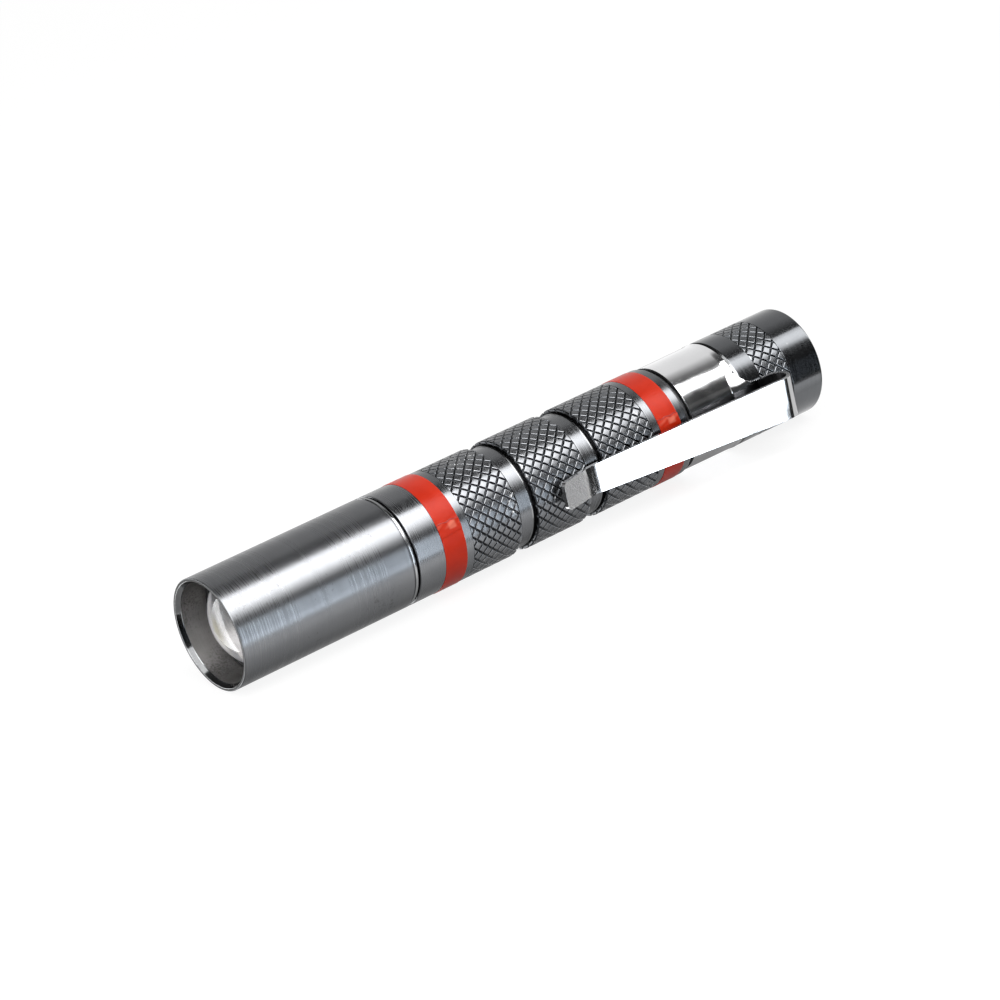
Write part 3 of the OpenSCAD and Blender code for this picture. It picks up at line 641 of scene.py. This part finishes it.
def makeHead():
    h = head
    corners = [
        (0.0, h["rimR"], 0.03, 1), (0.0, h["outerR"] - 0.07, 0.02, 0), (0.07, h["outerR"], 0.03, 0),
        (h["cutX"], h["outerR"], 0.02, 0), (h["cutX"] + 0.08, h["outerR"] - h["cutDepth"], 0.02, 0),
        (h["beadX"] - 0.08, h["outerR"] - h["cutDepth"], 0.02, 0), (h["beadX"], h["outerR"], 0.05, 1),
        (h["endX"] - 0.15, h["outerR"], 0.05, 0), (h["endX"], h["outerR"] - 0.15, 0.04, 0),
        (h["endX"], h["collarR"], 0.04, 2), (h["collarX"], h["collarR"], 0.04, 3),
        (h["collarX"], h["guideR"], 0.02, 3), (h["shoulderX"], h["guideR"], 0.02, 2),
        (h["shoulderX"], h["windowR"], 0.04, 2), (h["bevelX"], h["windowR"], 0.05, 1),
    ]
    turnedPiece("headSleeve", corners, "head", "headMetal", ("head_sleeve",),
                looks=("rimMetal", "boreMetal", "bareMetal"), segments=288)


makeHead()

# Lens: plano-convex, with a thin edge in front of the retainer
lens = {"topX": 1.3, "domeR": 6.799, "baseX": 4.72, "baseR": 5.9, "edgeR": 6.42, "edgeX": 5.62}


def makeLens():
    s = lens
    t = np.linspace(0, np.arcsin(s["baseR"] / s["domeR"]), 40)
    dome = np.stack((s["topX"] + s["domeR"] * (1 - np.cos(t)), s["domeR"] * np.sin(t)), -1)
    rim, _ = roundedOutline([(s["baseX"], s["baseR"] + 0.02), (s["baseX"], s["edgeR"], 0.08),
                             (s["edgeX"], s["edgeR"], 0.08), (s["edgeX"], 0.0)], closed=False)
    outline = np.concatenate((dome, rim))
    spunPiece("domeLens", outline, 192, "head", "clearLens", ("lens",))


makeLens()

# Rings of round rubber: the ring's radius, its cord's radius, x, body and the node that it stands for
rings = {
    "lensRing": (6.16, 0.3, 4.37, "head", "lens_seal"),
    "dragRing": (6.17, 0.3, 13.66, "drag_ring", "zoom_o_ring"),
    "clipRing": (6.28, 0.33, 67.89, "barrel", "clip_o_ring"),
    "neckRing": (5.95, 0.2, 77.55, "barrel", "cap_o_ring"),
}
for ringName, (ringR, cordR, ringX, bodyName, nodeName) in rings.items():
    w = np.linspace(0, 2 * np.pi, 24, endpoint=False)
    cord = np.stack((ringX + cordR * np.cos(w), ringR + cordR * np.sin(w)), -1)
    spunPiece(ringName, cord, 160, bodyName, "blackRubber", (nodeName,), closed=True)
print("head, lens and rings are made")

# Barrel: turned body, with the knurls as sleeves of their own round its core
barrel = {
    "tubeX": 17.07, "tubeR": 6.05, "bodyX": 25.3, "bodyR": 7.0, "bandFloorR": 6.85, "bandW": 3.15,
    "frontBandX": 29.1, "rearBandX": 63.26, "ringR": 6.47, "cutR": 6.2, "underR": 6.55,
    "knurls": ((33.2, 40.7), (43.15, 51.505), (53.955, 62.31)), "knurlInnerR": 6.3,
    "ringX": 67.56, "ringFloorR": 5.95, "seatX": 68.25, "seatR": 6.25, "neckX": 76.75, "neckR": 6.1,
    "neckRingX": 77.3, "neckRingR": 5.75, "neckRingW": 0.5, "endX": 81.0, "boreR": 5.35,
}


def makeBarrel():
    b = barrel
    corners = [(b["tubeX"], b["tubeR"], 0.12), (b["bodyX"], b["tubeR"], 0.04),
               (b["bodyX"], b["bodyR"], 0.16), (b["frontBandX"], b["bodyR"], 0.03),
               (b["frontBandX"], b["bandFloorR"], 0.02),
               (b["frontBandX"] + b["bandW"], b["bandFloorR"], 0.02),
               (b["frontBandX"] + b["bandW"], b["bodyR"], 0.03)]
    for number, (start, end) in enumerate(b["knurls"]):
        if number == 0:
            corners.append((start + 0.1, b["bodyR"], 0.02))
        else:                               # finger groove: cut painted near-black as shade, ring, bright chamfer, cut painted near-black as shade
            gap = b["knurls"][number - 1][1]
            corners += [(gap - 0.1, b["cutR"], 0.02, 2), (gap + 0.24, b["cutR"], 0.02, 2),
                        (gap + 0.24, b["ringR"], 0.05), (start - 0.46, b["ringR"], 0.02, 1),
                        (start - 0.36, b["ringR"] + 0.07, 0.03, 2), (start - 0.36, b["cutR"], 0.02, 2),
                        (start + 0.1, b["cutR"], 0.02, 2)]
        corners += [(start + 0.1, b["underR"], 0.02), (end - 0.1, b["underR"], 0.02, 2)]
    corners.append((end - 0.1, b["bodyR"], 0.02))
    corners += [(b["rearBandX"], b["bodyR"], 0.03), (b["rearBandX"], b["bandFloorR"], 0.02),
                (b["rearBandX"] + b["bandW"], b["bandFloorR"], 0.02),
                (b["rearBandX"] + b["bandW"], b["bodyR"], 0.03), (b["ringX"], b["bodyR"], 0.15),
                (b["ringX"], b["ringFloorR"], 0.04), (b["seatX"], b["ringFloorR"], 0.04),
                (b["seatX"], b["seatR"], 0.06), (b["neckX"], b["seatR"], 0.05),
                (b["neckX"], b["neckR"], 0.03),
                (b["neckRingX"], b["neckR"], 0.03), (b["neckRingX"], b["neckRingR"], 0.03),
                (b["neckRingX"] + b["neckRingW"], b["neckRingR"], 0.03),
                (b["neckRingX"] + b["neckRingW"], b["neckR"] - 0.25, 0.03),
                (b["endX"], b["neckR"] - 0.25, 0.1),
                (b["endX"], b["boreR"], 0.08), (b["tubeX"], b["boreR"], 0.08)]
    turnedPiece("barrelBody", corners, "barrel", "barrelMetal", ("barrel",),
                looks=("rimMetal", "paintedShadeMetal"), segments=256)


makeBarrel()

# Knurls: rows and columns step by a sixteenth of the pitch, so that the cut lines run along
# the cells' own diagonals
knurl = {"lines": 30, "cells": 16, "cutCells": 1.6, "depth": 0.24, "crown": 0.006, "endBevel": 0.14,
         "dipCells": 0.6, "dip": 0.35, "innerStep": 0.02}


def knurlSleeve(name, x0, x1, topR, innerR, body, look, stands):
    # Two sets of cuts at 45 degrees: u = angle * lines / turn, v = x / pitch, and the cuts lie where
    # u + v and u - v are whole. Depth falls linearly from the cut's middle, the tops are slightly crowned
    # and dip a little beside the cuts.
    k = knurl
    cells, lines = k["cells"], k["lines"]
    pitch = 2 * np.pi * topR / lines
    columns = lines * cells
    rows = int(round((x1 - x0) / (pitch / cells)))
    x = np.linspace(x0, x1, rows + 1)
    a = np.arange(columns) * 2 * np.pi / columns
    xx, aa = np.meshgrid(x, a, indexing="ij")
    u = aa * lines / (2 * np.pi)
    v = np.arange(rows + 1)[:, None] / cells + np.zeros_like(aa)
    p, q = u + v, u - v
    dp = np.abs(p - np.round(p)) * cells
    dq = np.abs(q - np.round(q)) * cells
    near = np.minimum(dp, dq)
    cut = np.clip(1 - near / k["cutCells"], 0, 1)
    dip = np.where(np.abs(near - k["cutCells"] - 1) < k["dipCells"], k["dip"], 0.0)
    crown = k["crown"] * (1 - near / (cells / 2))
    ends = np.minimum(xx - x0, x1 - xx)
    bevel = np.clip(1 - ends / k["endBevel"], 0, 1) * k["endBevel"]
    rr = topR - k["depth"] * cut - crown * dip - crown - bevel
    pts = np.stack((xx, rr * np.cos(aa), rr * np.sin(aa)), -1)
    innerX = np.repeat([[x1 - k["innerStep"]], [x0 + k["innerStep"]]], columns, axis=1)
    inner = np.stack((innerX, innerR * np.cos(aa[:2]), innerR * np.sin(aa[:2])), -1)
    pts = np.concatenate((pts, inner)).reshape(-1, 3)
    c00, c01, c11, c10 = np.moveaxis(gridFaces(rows + 3, columns, True), -1, 0)
    onP = np.zeros(c00.shape, dtype=bool)    # which diagonal a cell is split on: the nearer cut's own
    midP = u[:-1] + v[:-1] + 1.0 / cells
    midQ = u[:-1] - v[:-1]
    onP[:rows] = np.abs(midP - np.round(midP)) < np.abs(midQ - np.round(midQ))
    one = np.where(onP[..., None], np.stack((c00, c01, c10), -1), np.stack((c00, c01, c11), -1))
    two = np.where(onP[..., None], np.stack((c01, c11, c10), -1), np.stack((c00, c11, c10), -1))
    faces = np.concatenate((one.reshape(-1, 3), two.reshape(-1, 3))).tolist()
    piece(name, pts, faces, body, look, stands)


for number, (start, end) in enumerate(barrel["knurls"]):
    knurlSleeve("knurl" + str(number + 1), start, end, barrel["bodyR"], barrel["knurlInnerR"], "barrel",
                "knurlMetal", ("barrel",))


# Thread on the neck, out of sight while the cap is on its seat
thread = {"startX": 77.95, "endX": 80.85, "rootR": 5.80, "backR": 5.5, "depth": 0.3, "pitch": 0.8,
          "runOut": 0.15, "rowsPerTurn": 12}


def makeThread():
    # The radius rises and falls once for each pitch of x minus the turn made so far
    t = thread
    x0, x1 = t["startX"], t["endX"]

    def relief(x, a, r):
        phase = (x - x0) / t["pitch"] - a / (2 * np.pi)
        wave = 1 - 2 * np.abs(phase - np.floor(phase) - 0.5)
        fade = np.clip(np.minimum(x - x0, x1 - x) / t["runOut"], 0, 1)
        height = t["depth"] * np.clip(1.6 * wave - 0.3, 0, 1) * fade
        return np.where(np.abs(r - t["rootR"]) < 0.001, height, 0)
    rows = int((x1 - x0) / t["pitch"] * t["rowsPerTurn"])
    corners = [(x0, t["rootR"], 0, 0, rows), (x1, t["rootR"]), (x1, t["backR"]), (x0, t["backR"])]
    turnedPiece("neckThread", corners, "barrel", "barrelMetal", ("barrel",), segments=144,
                relief=relief)


makeThread()

# Coloured bands: a strip of film wrapped once round, its creased end lapped over its start
band = {"outerR": 7.05, "seamAngle": 155.0, "lapTurn": 14.0, "lapStep": 0.06}


def colourBand(name, x0, stands, phase):
    b = band
    width = barrel["bandW"]

    def crease(x, a):
        # The lap starts on a zigzag line. Below it are broad facets and one flake, ahead of the middle; the
        # colour paints a sheen on both and shade along the start line.
        turn = (np.degrees(a) - b["seamAngle"] + 180) % 360 - 180
        u = (x - x0) / width
        edge = turn - 2.4 * np.abs((2.3 * u + 0.3 * phase) % 1 - 0.5)
        inLap = ease((edge + 0.3) / 0.7) * (1 - ease((turn - b["lapTurn"] + 2 * u) / 1.2))
        ridge = np.exp(-((turn - 4) / 5.0) ** 2) * np.abs(np.sin(0.42 * turn + 5.2 * u + phase))
        flake = ease((edge - 1) / 1.5) * (1 - ease((turn - 8) / 1.5)) * ease((u - 0.42) / 0.12) \
            * (1 - ease((u - 0.74) / 0.12))
        return inLap, ridge, flake, np.exp(-((edge - 0.1) / 0.55) ** 2)

    def relief(x, a, r):
        inLap, ridge, flake, _ = crease(x, a)
        lift = b["lapStep"] * inLap + 0.035 * ridge + 0.02 * flake
        return np.where(r > b["outerR"] - 0.03, lift, 0)
    corners = [(x0, b["outerR"], 0.03, 0, 30), (x0 + width, b["outerR"], 0.03, 0),
               (x0 + width, barrel["bandFloorR"]), (x0, barrel["bandFloorR"])]
    obj = turnedPiece(name, corners, "barrel", "redTape", stands, segments=720, relief=relief)
    co = np.empty(len(obj.data.vertices) * 3)
    obj.data.vertices.foreach_get("co", co)
    co = co.reshape(-1, 3) / mm
    _, ridge, flake, start = crease(co[:, 0], np.arctan2(co[:, 2], co[:, 1]))
    # Crease value: a painted sheen on the facets and the flake, and painted shade along the lap's start line
    pale = np.clip(ridge * 1.5 - 0.9, 0, 1) * 0.6 + 0.7 * flake - 0.8 * start
    obj.data.attributes.new("crease", "FLOAT", "POINT").data.foreach_set("value", pale)


colourBand("frontBandFilm", barrel["frontBandX"], ("front_band",), 0.0)
colourBand("rearBandFilm", barrel["rearBandX"], ("rear_band",), 1.7)
print("barrel, knurls and bands are made")

# Clip: one sheet. Its modelled face is the one that touches the barrel, turns round the rear fold
# and becomes the arm's top; the sheet's thickness goes to the other side.
clip = {
    "thickness": 0.5, "sleeveR": 6.33, "sleeveX": 68.35, "sleeveEnd": 76.65,
    "climbX": 75.0, "climbEnd": 76.95, "climb": 0.72, "cone": 0.06, "flareX": 75.8, "flare": 0.2,
    "flatX": 76.1, "flatEnd": 78.65, "tabH": 7.2, "halfRear": 2.6, "halfFront": 1.8,
    "fillet": 1.1, "foldX": 80.3, "foldH": 9.05, "foldR": 1.85, "tilt": 6.59, "armLength": 27.85,
    "bendR": 6.0, "lipAngle": 13.0, "lipLength": 4.1, "lipCorner": 0.6, "edge": 0.07,
}


def makeClip():
    c = clip
    wide = c["halfRear"] + c["fillet"]
    inner = np.linspace(-wide, wide, 25)
    halfTurn = np.pi * c["sleeveR"]
    outer = np.linspace(wide, halfTurn, 61)[1:]
    across = np.concatenate((-outer[::-1][1:], inner, outer))      # the seam's two columns are one
    count = len(across)
    firstInner = len(outer) - 1
    rowsX = np.concatenate((np.linspace(c["sleeveX"], c["climbX"], 12)[:-1],
                            np.linspace(c["climbX"], c["sleeveEnd"], 14)))

    def flatten(x):
        return ease((x - c["flatX"]) / (c["flatEnd"] - c["flatX"]))

    def surface(x, s):
        # Round the barrel: angle = s / radius. Where the tab leaves, the radius climbs in the middle,
        # then the round section flattens into the level tab.
        climb = c["climb"] * ease((x - c["climbX"]) / (c["climbEnd"] - c["climbX"]))
        fade = 1 - ease((np.abs(s) - 2.3) / 2.6)
        flare = c["cone"] * np.clip((x - c["sleeveX"]) / (c["sleeveEnd"] - c["sleeveX"]), 0, 1) \
            + c["flare"] * ease((x - c["flareX"]) / (2 * (c["sleeveEnd"] - c["flareX"])))
        r = c["sleeveR"] + np.maximum(climb * fade, flare * (1 - flatten(x)))
        flat = flatten(x) * fade
        h = (1 - flat) * r * np.cos(s / c["sleeveR"]) + flat * c["tabH"]
        z = (1 - flat) * r * np.sin(s / c["sleeveR"]) + flat * s
        return np.stack((x, -h, z), -1)

    xx, ss = np.meshgrid(rowsX, across, indexing="ij")
    sleeve = surface(xx, ss)

    # Tab: its sides leave the sleeve on a quarter circle
    tabX = np.concatenate((c["sleeveEnd"] + c["fillet"] * (1 - np.cos(np.linspace(0, np.pi / 2, 9)))[1:],
                           np.linspace(c["sleeveEnd"] + c["fillet"], c["flatEnd"], 7)[1:]))
    t = np.clip((tabX - c["sleeveEnd"]) / c["fillet"], 0, 1)
    half = c["halfRear"] + c["fillet"] * (1 - np.sqrt(1 - (1 - t) ** 2))
    share = inner / wide
    tab = surface(np.repeat(tabX[:, None], len(inner), 1), half[:, None] * share[None, :])

    # Fold, arm, bend and lip in the side view: x along the barrel, h away from the axis
    tilt, lipA = np.radians(c["tilt"]), np.radians(c["lipAngle"])
    straight = np.linspace(c["flatEnd"], c["foldX"], 5)[1:-1]
    path = [np.stack((straight, np.full(len(straight), c["tabH"])), -1)]
    w = np.linspace(-np.pi / 2, np.pi / 2 + tilt, 40)
    path.append(np.stack((c["foldX"] + c["foldR"] * np.cos(w), c["foldH"] + c["foldR"] * np.sin(w)), -1))
    start = path[-1][-1]
    way = np.array((-np.cos(tilt), -np.sin(tilt)))
    s = np.linspace(0, c["armLength"], 41)[1:]
    path.append(start + way * s[:, None])
    mid = path[-1][-1] + c["bendR"] * np.array((-np.sin(tilt), np.cos(tilt)))
    w = np.linspace(tilt - np.pi / 2, -lipA - np.pi / 2, 13)[1:]
    path.append(mid + c["bendR"] * np.stack((np.cos(w), np.sin(w)), -1))
    lipWay = np.array((-np.cos(lipA), np.sin(lipA)))
    s = np.concatenate((np.linspace(0, c["lipLength"] - c["lipCorner"], 9)[1:],
                        c["lipLength"] - c["lipCorner"] * (1 - np.sin(np.linspace(0, np.pi / 2, 11)))[1:]))
    path.append(path[-1][-1] + lipWay * s[:, None])
    lipLeft = c["lipLength"] - s
    path = np.concatenate(path)
    half = np.interp(path[:, 0], (mid[0], c["flatEnd"]), (c["halfFront"], c["halfRear"]))
    left = np.clip(lipLeft / c["lipCorner"], 0, 1)
    half[-len(s):] -= c["lipCorner"] * (1 - np.sqrt(1 - (1 - left) ** 2))
    arm = np.stack((np.repeat(path[:, :1], len(inner), 1), -np.repeat(path[:, 1:], len(inner), 1),
                    half[:, None] * share[None, :]), -1)
    strip = np.concatenate((tab, arm))

    pts = np.concatenate((sleeve.reshape(-1, 3), strip.reshape(-1, 3)))
    rows = len(rowsX)
    ring = gridFaces(rows, count).reshape(-1, 4)
    m, k = len(inner), len(strip)
    index = np.concatenate(((rows - 1) * count + firstInner + np.arange(m)[None, :],
                            rows * count + np.arange(k * m).reshape(k, m)))
    tongue = np.stack((index[:-1, :-1], index[:-1, 1:], index[1:, 1:], index[1:, :-1]), -1)
    faces = np.concatenate((ring, tongue.reshape(-1, 4))).tolist()
    # The tongue's other side takes the next slot: near-black metal as painted shade from the fold's start to
    # the lip, chrome elsewhere
    paintedShadeSide = (np.arange(k) >= len(tab)) & (np.arange(k) < k - len(s))
    looks = np.concatenate((np.full(len(ring), 2), np.repeat(np.where(paintedShadeSide, 0, 2), m - 1)))
    # Bending has roughened the lip, the lower side of the front bend and the fold's end
    worn = np.zeros((k, m))
    along = np.arange(12)[:, None] / 11
    worn[-len(s) - 12:-len(s)] = 0.5 * ease((2.0 * along - share[None, :] - 1.0) / 0.5)
    worn[-len(s):] = 1.0
    worn[np.abs(strip[:, 0, 0] - c["foldX"] - c["foldR"]) < 0.5] = 0.5
    worn = np.concatenate((np.zeros(rows * count), worn.ravel()))
    obj = piece("clipSheet", pts, faces, "clip", "chromeSheet", ("clip",), looks,
                ("paintedShadeMetal", "chromeSheet", "chromeSheet", "cutEdge"))
    wall = obj.modifiers.new("wall", "SOLIDIFY")
    wall.material_offset = 1
    wall.material_offset_rim = 4
    obj.data.attributes.new("worn", "FLOAT", "POINT").data.foreach_set("value", worn)
    wall.thickness = c["thickness"] * mm
    wall.offset = -1
    wall.use_even_offset = True
    soft = obj.modifiers.new("softEdge", "BEVEL")
    soft.width = c["edge"] * mm
    soft.segments = 3
    soft.limit_method = "ANGLE"
    soft.angle_limit = np.radians(50)
    soft.harden_normals = True


makeClip()
print("clip is made")

# Tail cap
cap = {
    "startX": 76.85, "outerR": 6.93, "chamfer": 0.3, "knurlX": 79.9, "collarX": 84.65, "endX": 89.4,
    "round": 0.25, "underR": 6.45, "boreR": 6.18, "stepX": 86.1, "stepR": 5.5, "lipX": 88.25, "holeR": 4.5,
    "knurlInnerR": 6.4,
}


def makeCap():
    c = cap
    corners = [(c["startX"], c["outerR"] - c["chamfer"], 0.04, 1),
               (c["startX"] + c["chamfer"], c["outerR"], 0.04, 0),
               (c["knurlX"] + 0.1, c["outerR"], 0.03, 0), (c["knurlX"] + 0.1, c["underR"], 0.02, 0),
               (c["collarX"] - 0.1, c["underR"], 0.02, 0), (c["collarX"] - 0.1, c["outerR"], 0.03, 0),
               (c["endX"], c["outerR"], c["round"], 0), (c["endX"], c["holeR"] + 0.15, 0.03, 1),
               (c["endX"] - 0.15, c["holeR"], 0.03, 0), (c["lipX"], c["holeR"], 0.03, 0),
               (c["lipX"], c["stepR"], 0.03, 0), (c["stepX"], c["stepR"], 0.03, 0),
               (c["stepX"], c["boreR"] + 0.12, 0.03, 0), (c["startX"], c["boreR"] + 0.12, 0.1, 0)]
    turnedPiece("capBody", corners, "tail_cap", "capMetal", ("tail_cap",), looks=("rimMetal",),
                segments=256)
    knurlSleeve("capKnurl", c["knurlX"], c["collarX"], c["outerR"], c["knurlInnerR"], "tail_cap", "capKnurl",
                ("tail_cap",))


makeCap()

# Push button: crowned rubber with a raised rim and a shallow dish
button = {"flangeX": 87.55, "lipX": 88.25, "flangeR": 5.3, "crownR": 4.4, "topX": 88.95, "dish": 0.12,
          "rimR": 3.0, "dishR": 2.9}


def makeButton():
    b = button
    across = b["dishR"] * np.linspace(0, 1, 16)[::-1]
    dish = np.stack((b["topX"] - b["dish"] * (1 - (across / b["dishR"]) ** 2), across), -1)
    rim, _ = roundedOutline([(b["flangeX"], 0.0), (b["flangeX"], b["flangeR"], 0.1),
                             (b["lipX"], b["flangeR"], 0.1), (b["lipX"], b["crownR"], 0.04),
                             (b["topX"], b["crownR"], 0.5), (b["topX"], b["rimR"])], closed=False)
    spunPiece("buttonCrown", np.concatenate((rim, dish)), 128, "button", "buttonRubber",
              ("tail_button",))


makeButton()
print("tail cap and button are made")

# Light source: white package, phosphor pad and clear dome
source = {"backX": 10.25, "frontX": 9.75, "half": 1.725, "corner": 0.25, "padHalf": 1.1, "domeR": 1.5}


def roundedSlab(name, x0, x1, half, corner, body, look, stands, edge=0.05):
    # Square plate with rounded corners: its outline carried over a side profile with rounded edges
    w = np.linspace(0, 2 * np.pi, 96, endpoint=False)
    cy, sz = np.cos(w), np.sin(w)
    reach = np.minimum(half / np.maximum(np.abs(cy), 1e-6), half / np.maximum(np.abs(sz), 1e-6))
    flat = np.stack((np.clip(reach * cy, -(half - corner), half - corner),
                     np.clip(reach * sz, -(half - corner), half - corner)), -1)
    unit = np.stack((cy, sz), -1)
    steps = np.array(((x1, 0.0), (x1, 0.6), (x1, 1.0), (x1 - edge, 1.0), (x0 + edge, 1.0), (x0, 1.0),
                      (x0, 0.6), (x0, 0.0)))
    inset = np.array((0, 0, edge, 0, 0, edge, 0, 0))
    rings = []
    for (x, k), back in zip(steps[1:-1], inset[1:-1]):
        outline = (flat + unit * (corner - back)) * k
        rings.append(np.concatenate((np.full((len(w), 1), x), outline), 1))
    pts = np.concatenate(rings)
    n, m = len(w), len(rings)
    quads = gridFaces(m, n)[..., [0, 3, 2, 1]].reshape(-1, 4).tolist()
    base = len(pts)
    pts = np.concatenate((pts, [[x1, 0, 0], [x0, 0, 0]]))
    j = np.arange(n)
    jn = (j + 1) % n
    last = (m - 1) * n
    quads += np.stack((np.full(n, base), j, jn), -1).tolist()
    quads += np.stack((np.full(n, base + 1), last + jn, last + j), -1).tolist()
    piece(name, pts, quads, body, look, stands)


def makeSource():
    s = source
    roundedSlab("ledPackage", s["frontX"], s["backX"], s["half"], s["corner"], "barrel", "nylon",
                ("led_emitter",))
    roundedSlab("ledPad", s["frontX"] - 0.06, s["frontX"] + 0.05, s["padHalf"], 0.1, "barrel", "phosphor",
                ("led_emitter",), edge=0.02)
    t = np.linspace(0, np.pi / 2, 24)
    dome = np.stack((s["frontX"] - s["domeR"] * np.cos(t), s["domeR"] * np.sin(t)), -1)
    outline = np.concatenate((dome, [[s["frontX"] + 0.02, s["domeR"]], [s["frontX"] + 0.02, 0.0]]))
    spunPiece("ledDome", outline, 96, "barrel", "clearLens", ("led_emitter",))


makeSource()
print("light source is made")

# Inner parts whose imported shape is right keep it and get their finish
keptLooks = {
    "lens_retainer": "bareMetal", "led_pill": "bareMetal", "led_board": "whiteBoard",
    "driver_board": "greenBoard", "driver_inductor": "ferrite", "front_contact_spring": "springSteel",
    "cell_can": "canSteel",
    "cell_core": "cellPowder", "cell_base": "canSteel", "cell_seal": "nylon", "cell_jacket": "cellFilm",
    "switch_retainer": "brass", "switch_board": "greenBoard", "tail_spring": "springSteel",
    "switch_housing": "darkPlastic", "button_washer": "darkPlastic", "switch_plunger": "darkPlastic",
}
for nodeName, look in keptLooks.items():
    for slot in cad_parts[nodeName].material_slots:
        slot.material = finish[look]
print("inner parts are finished:", len(keptLooks))
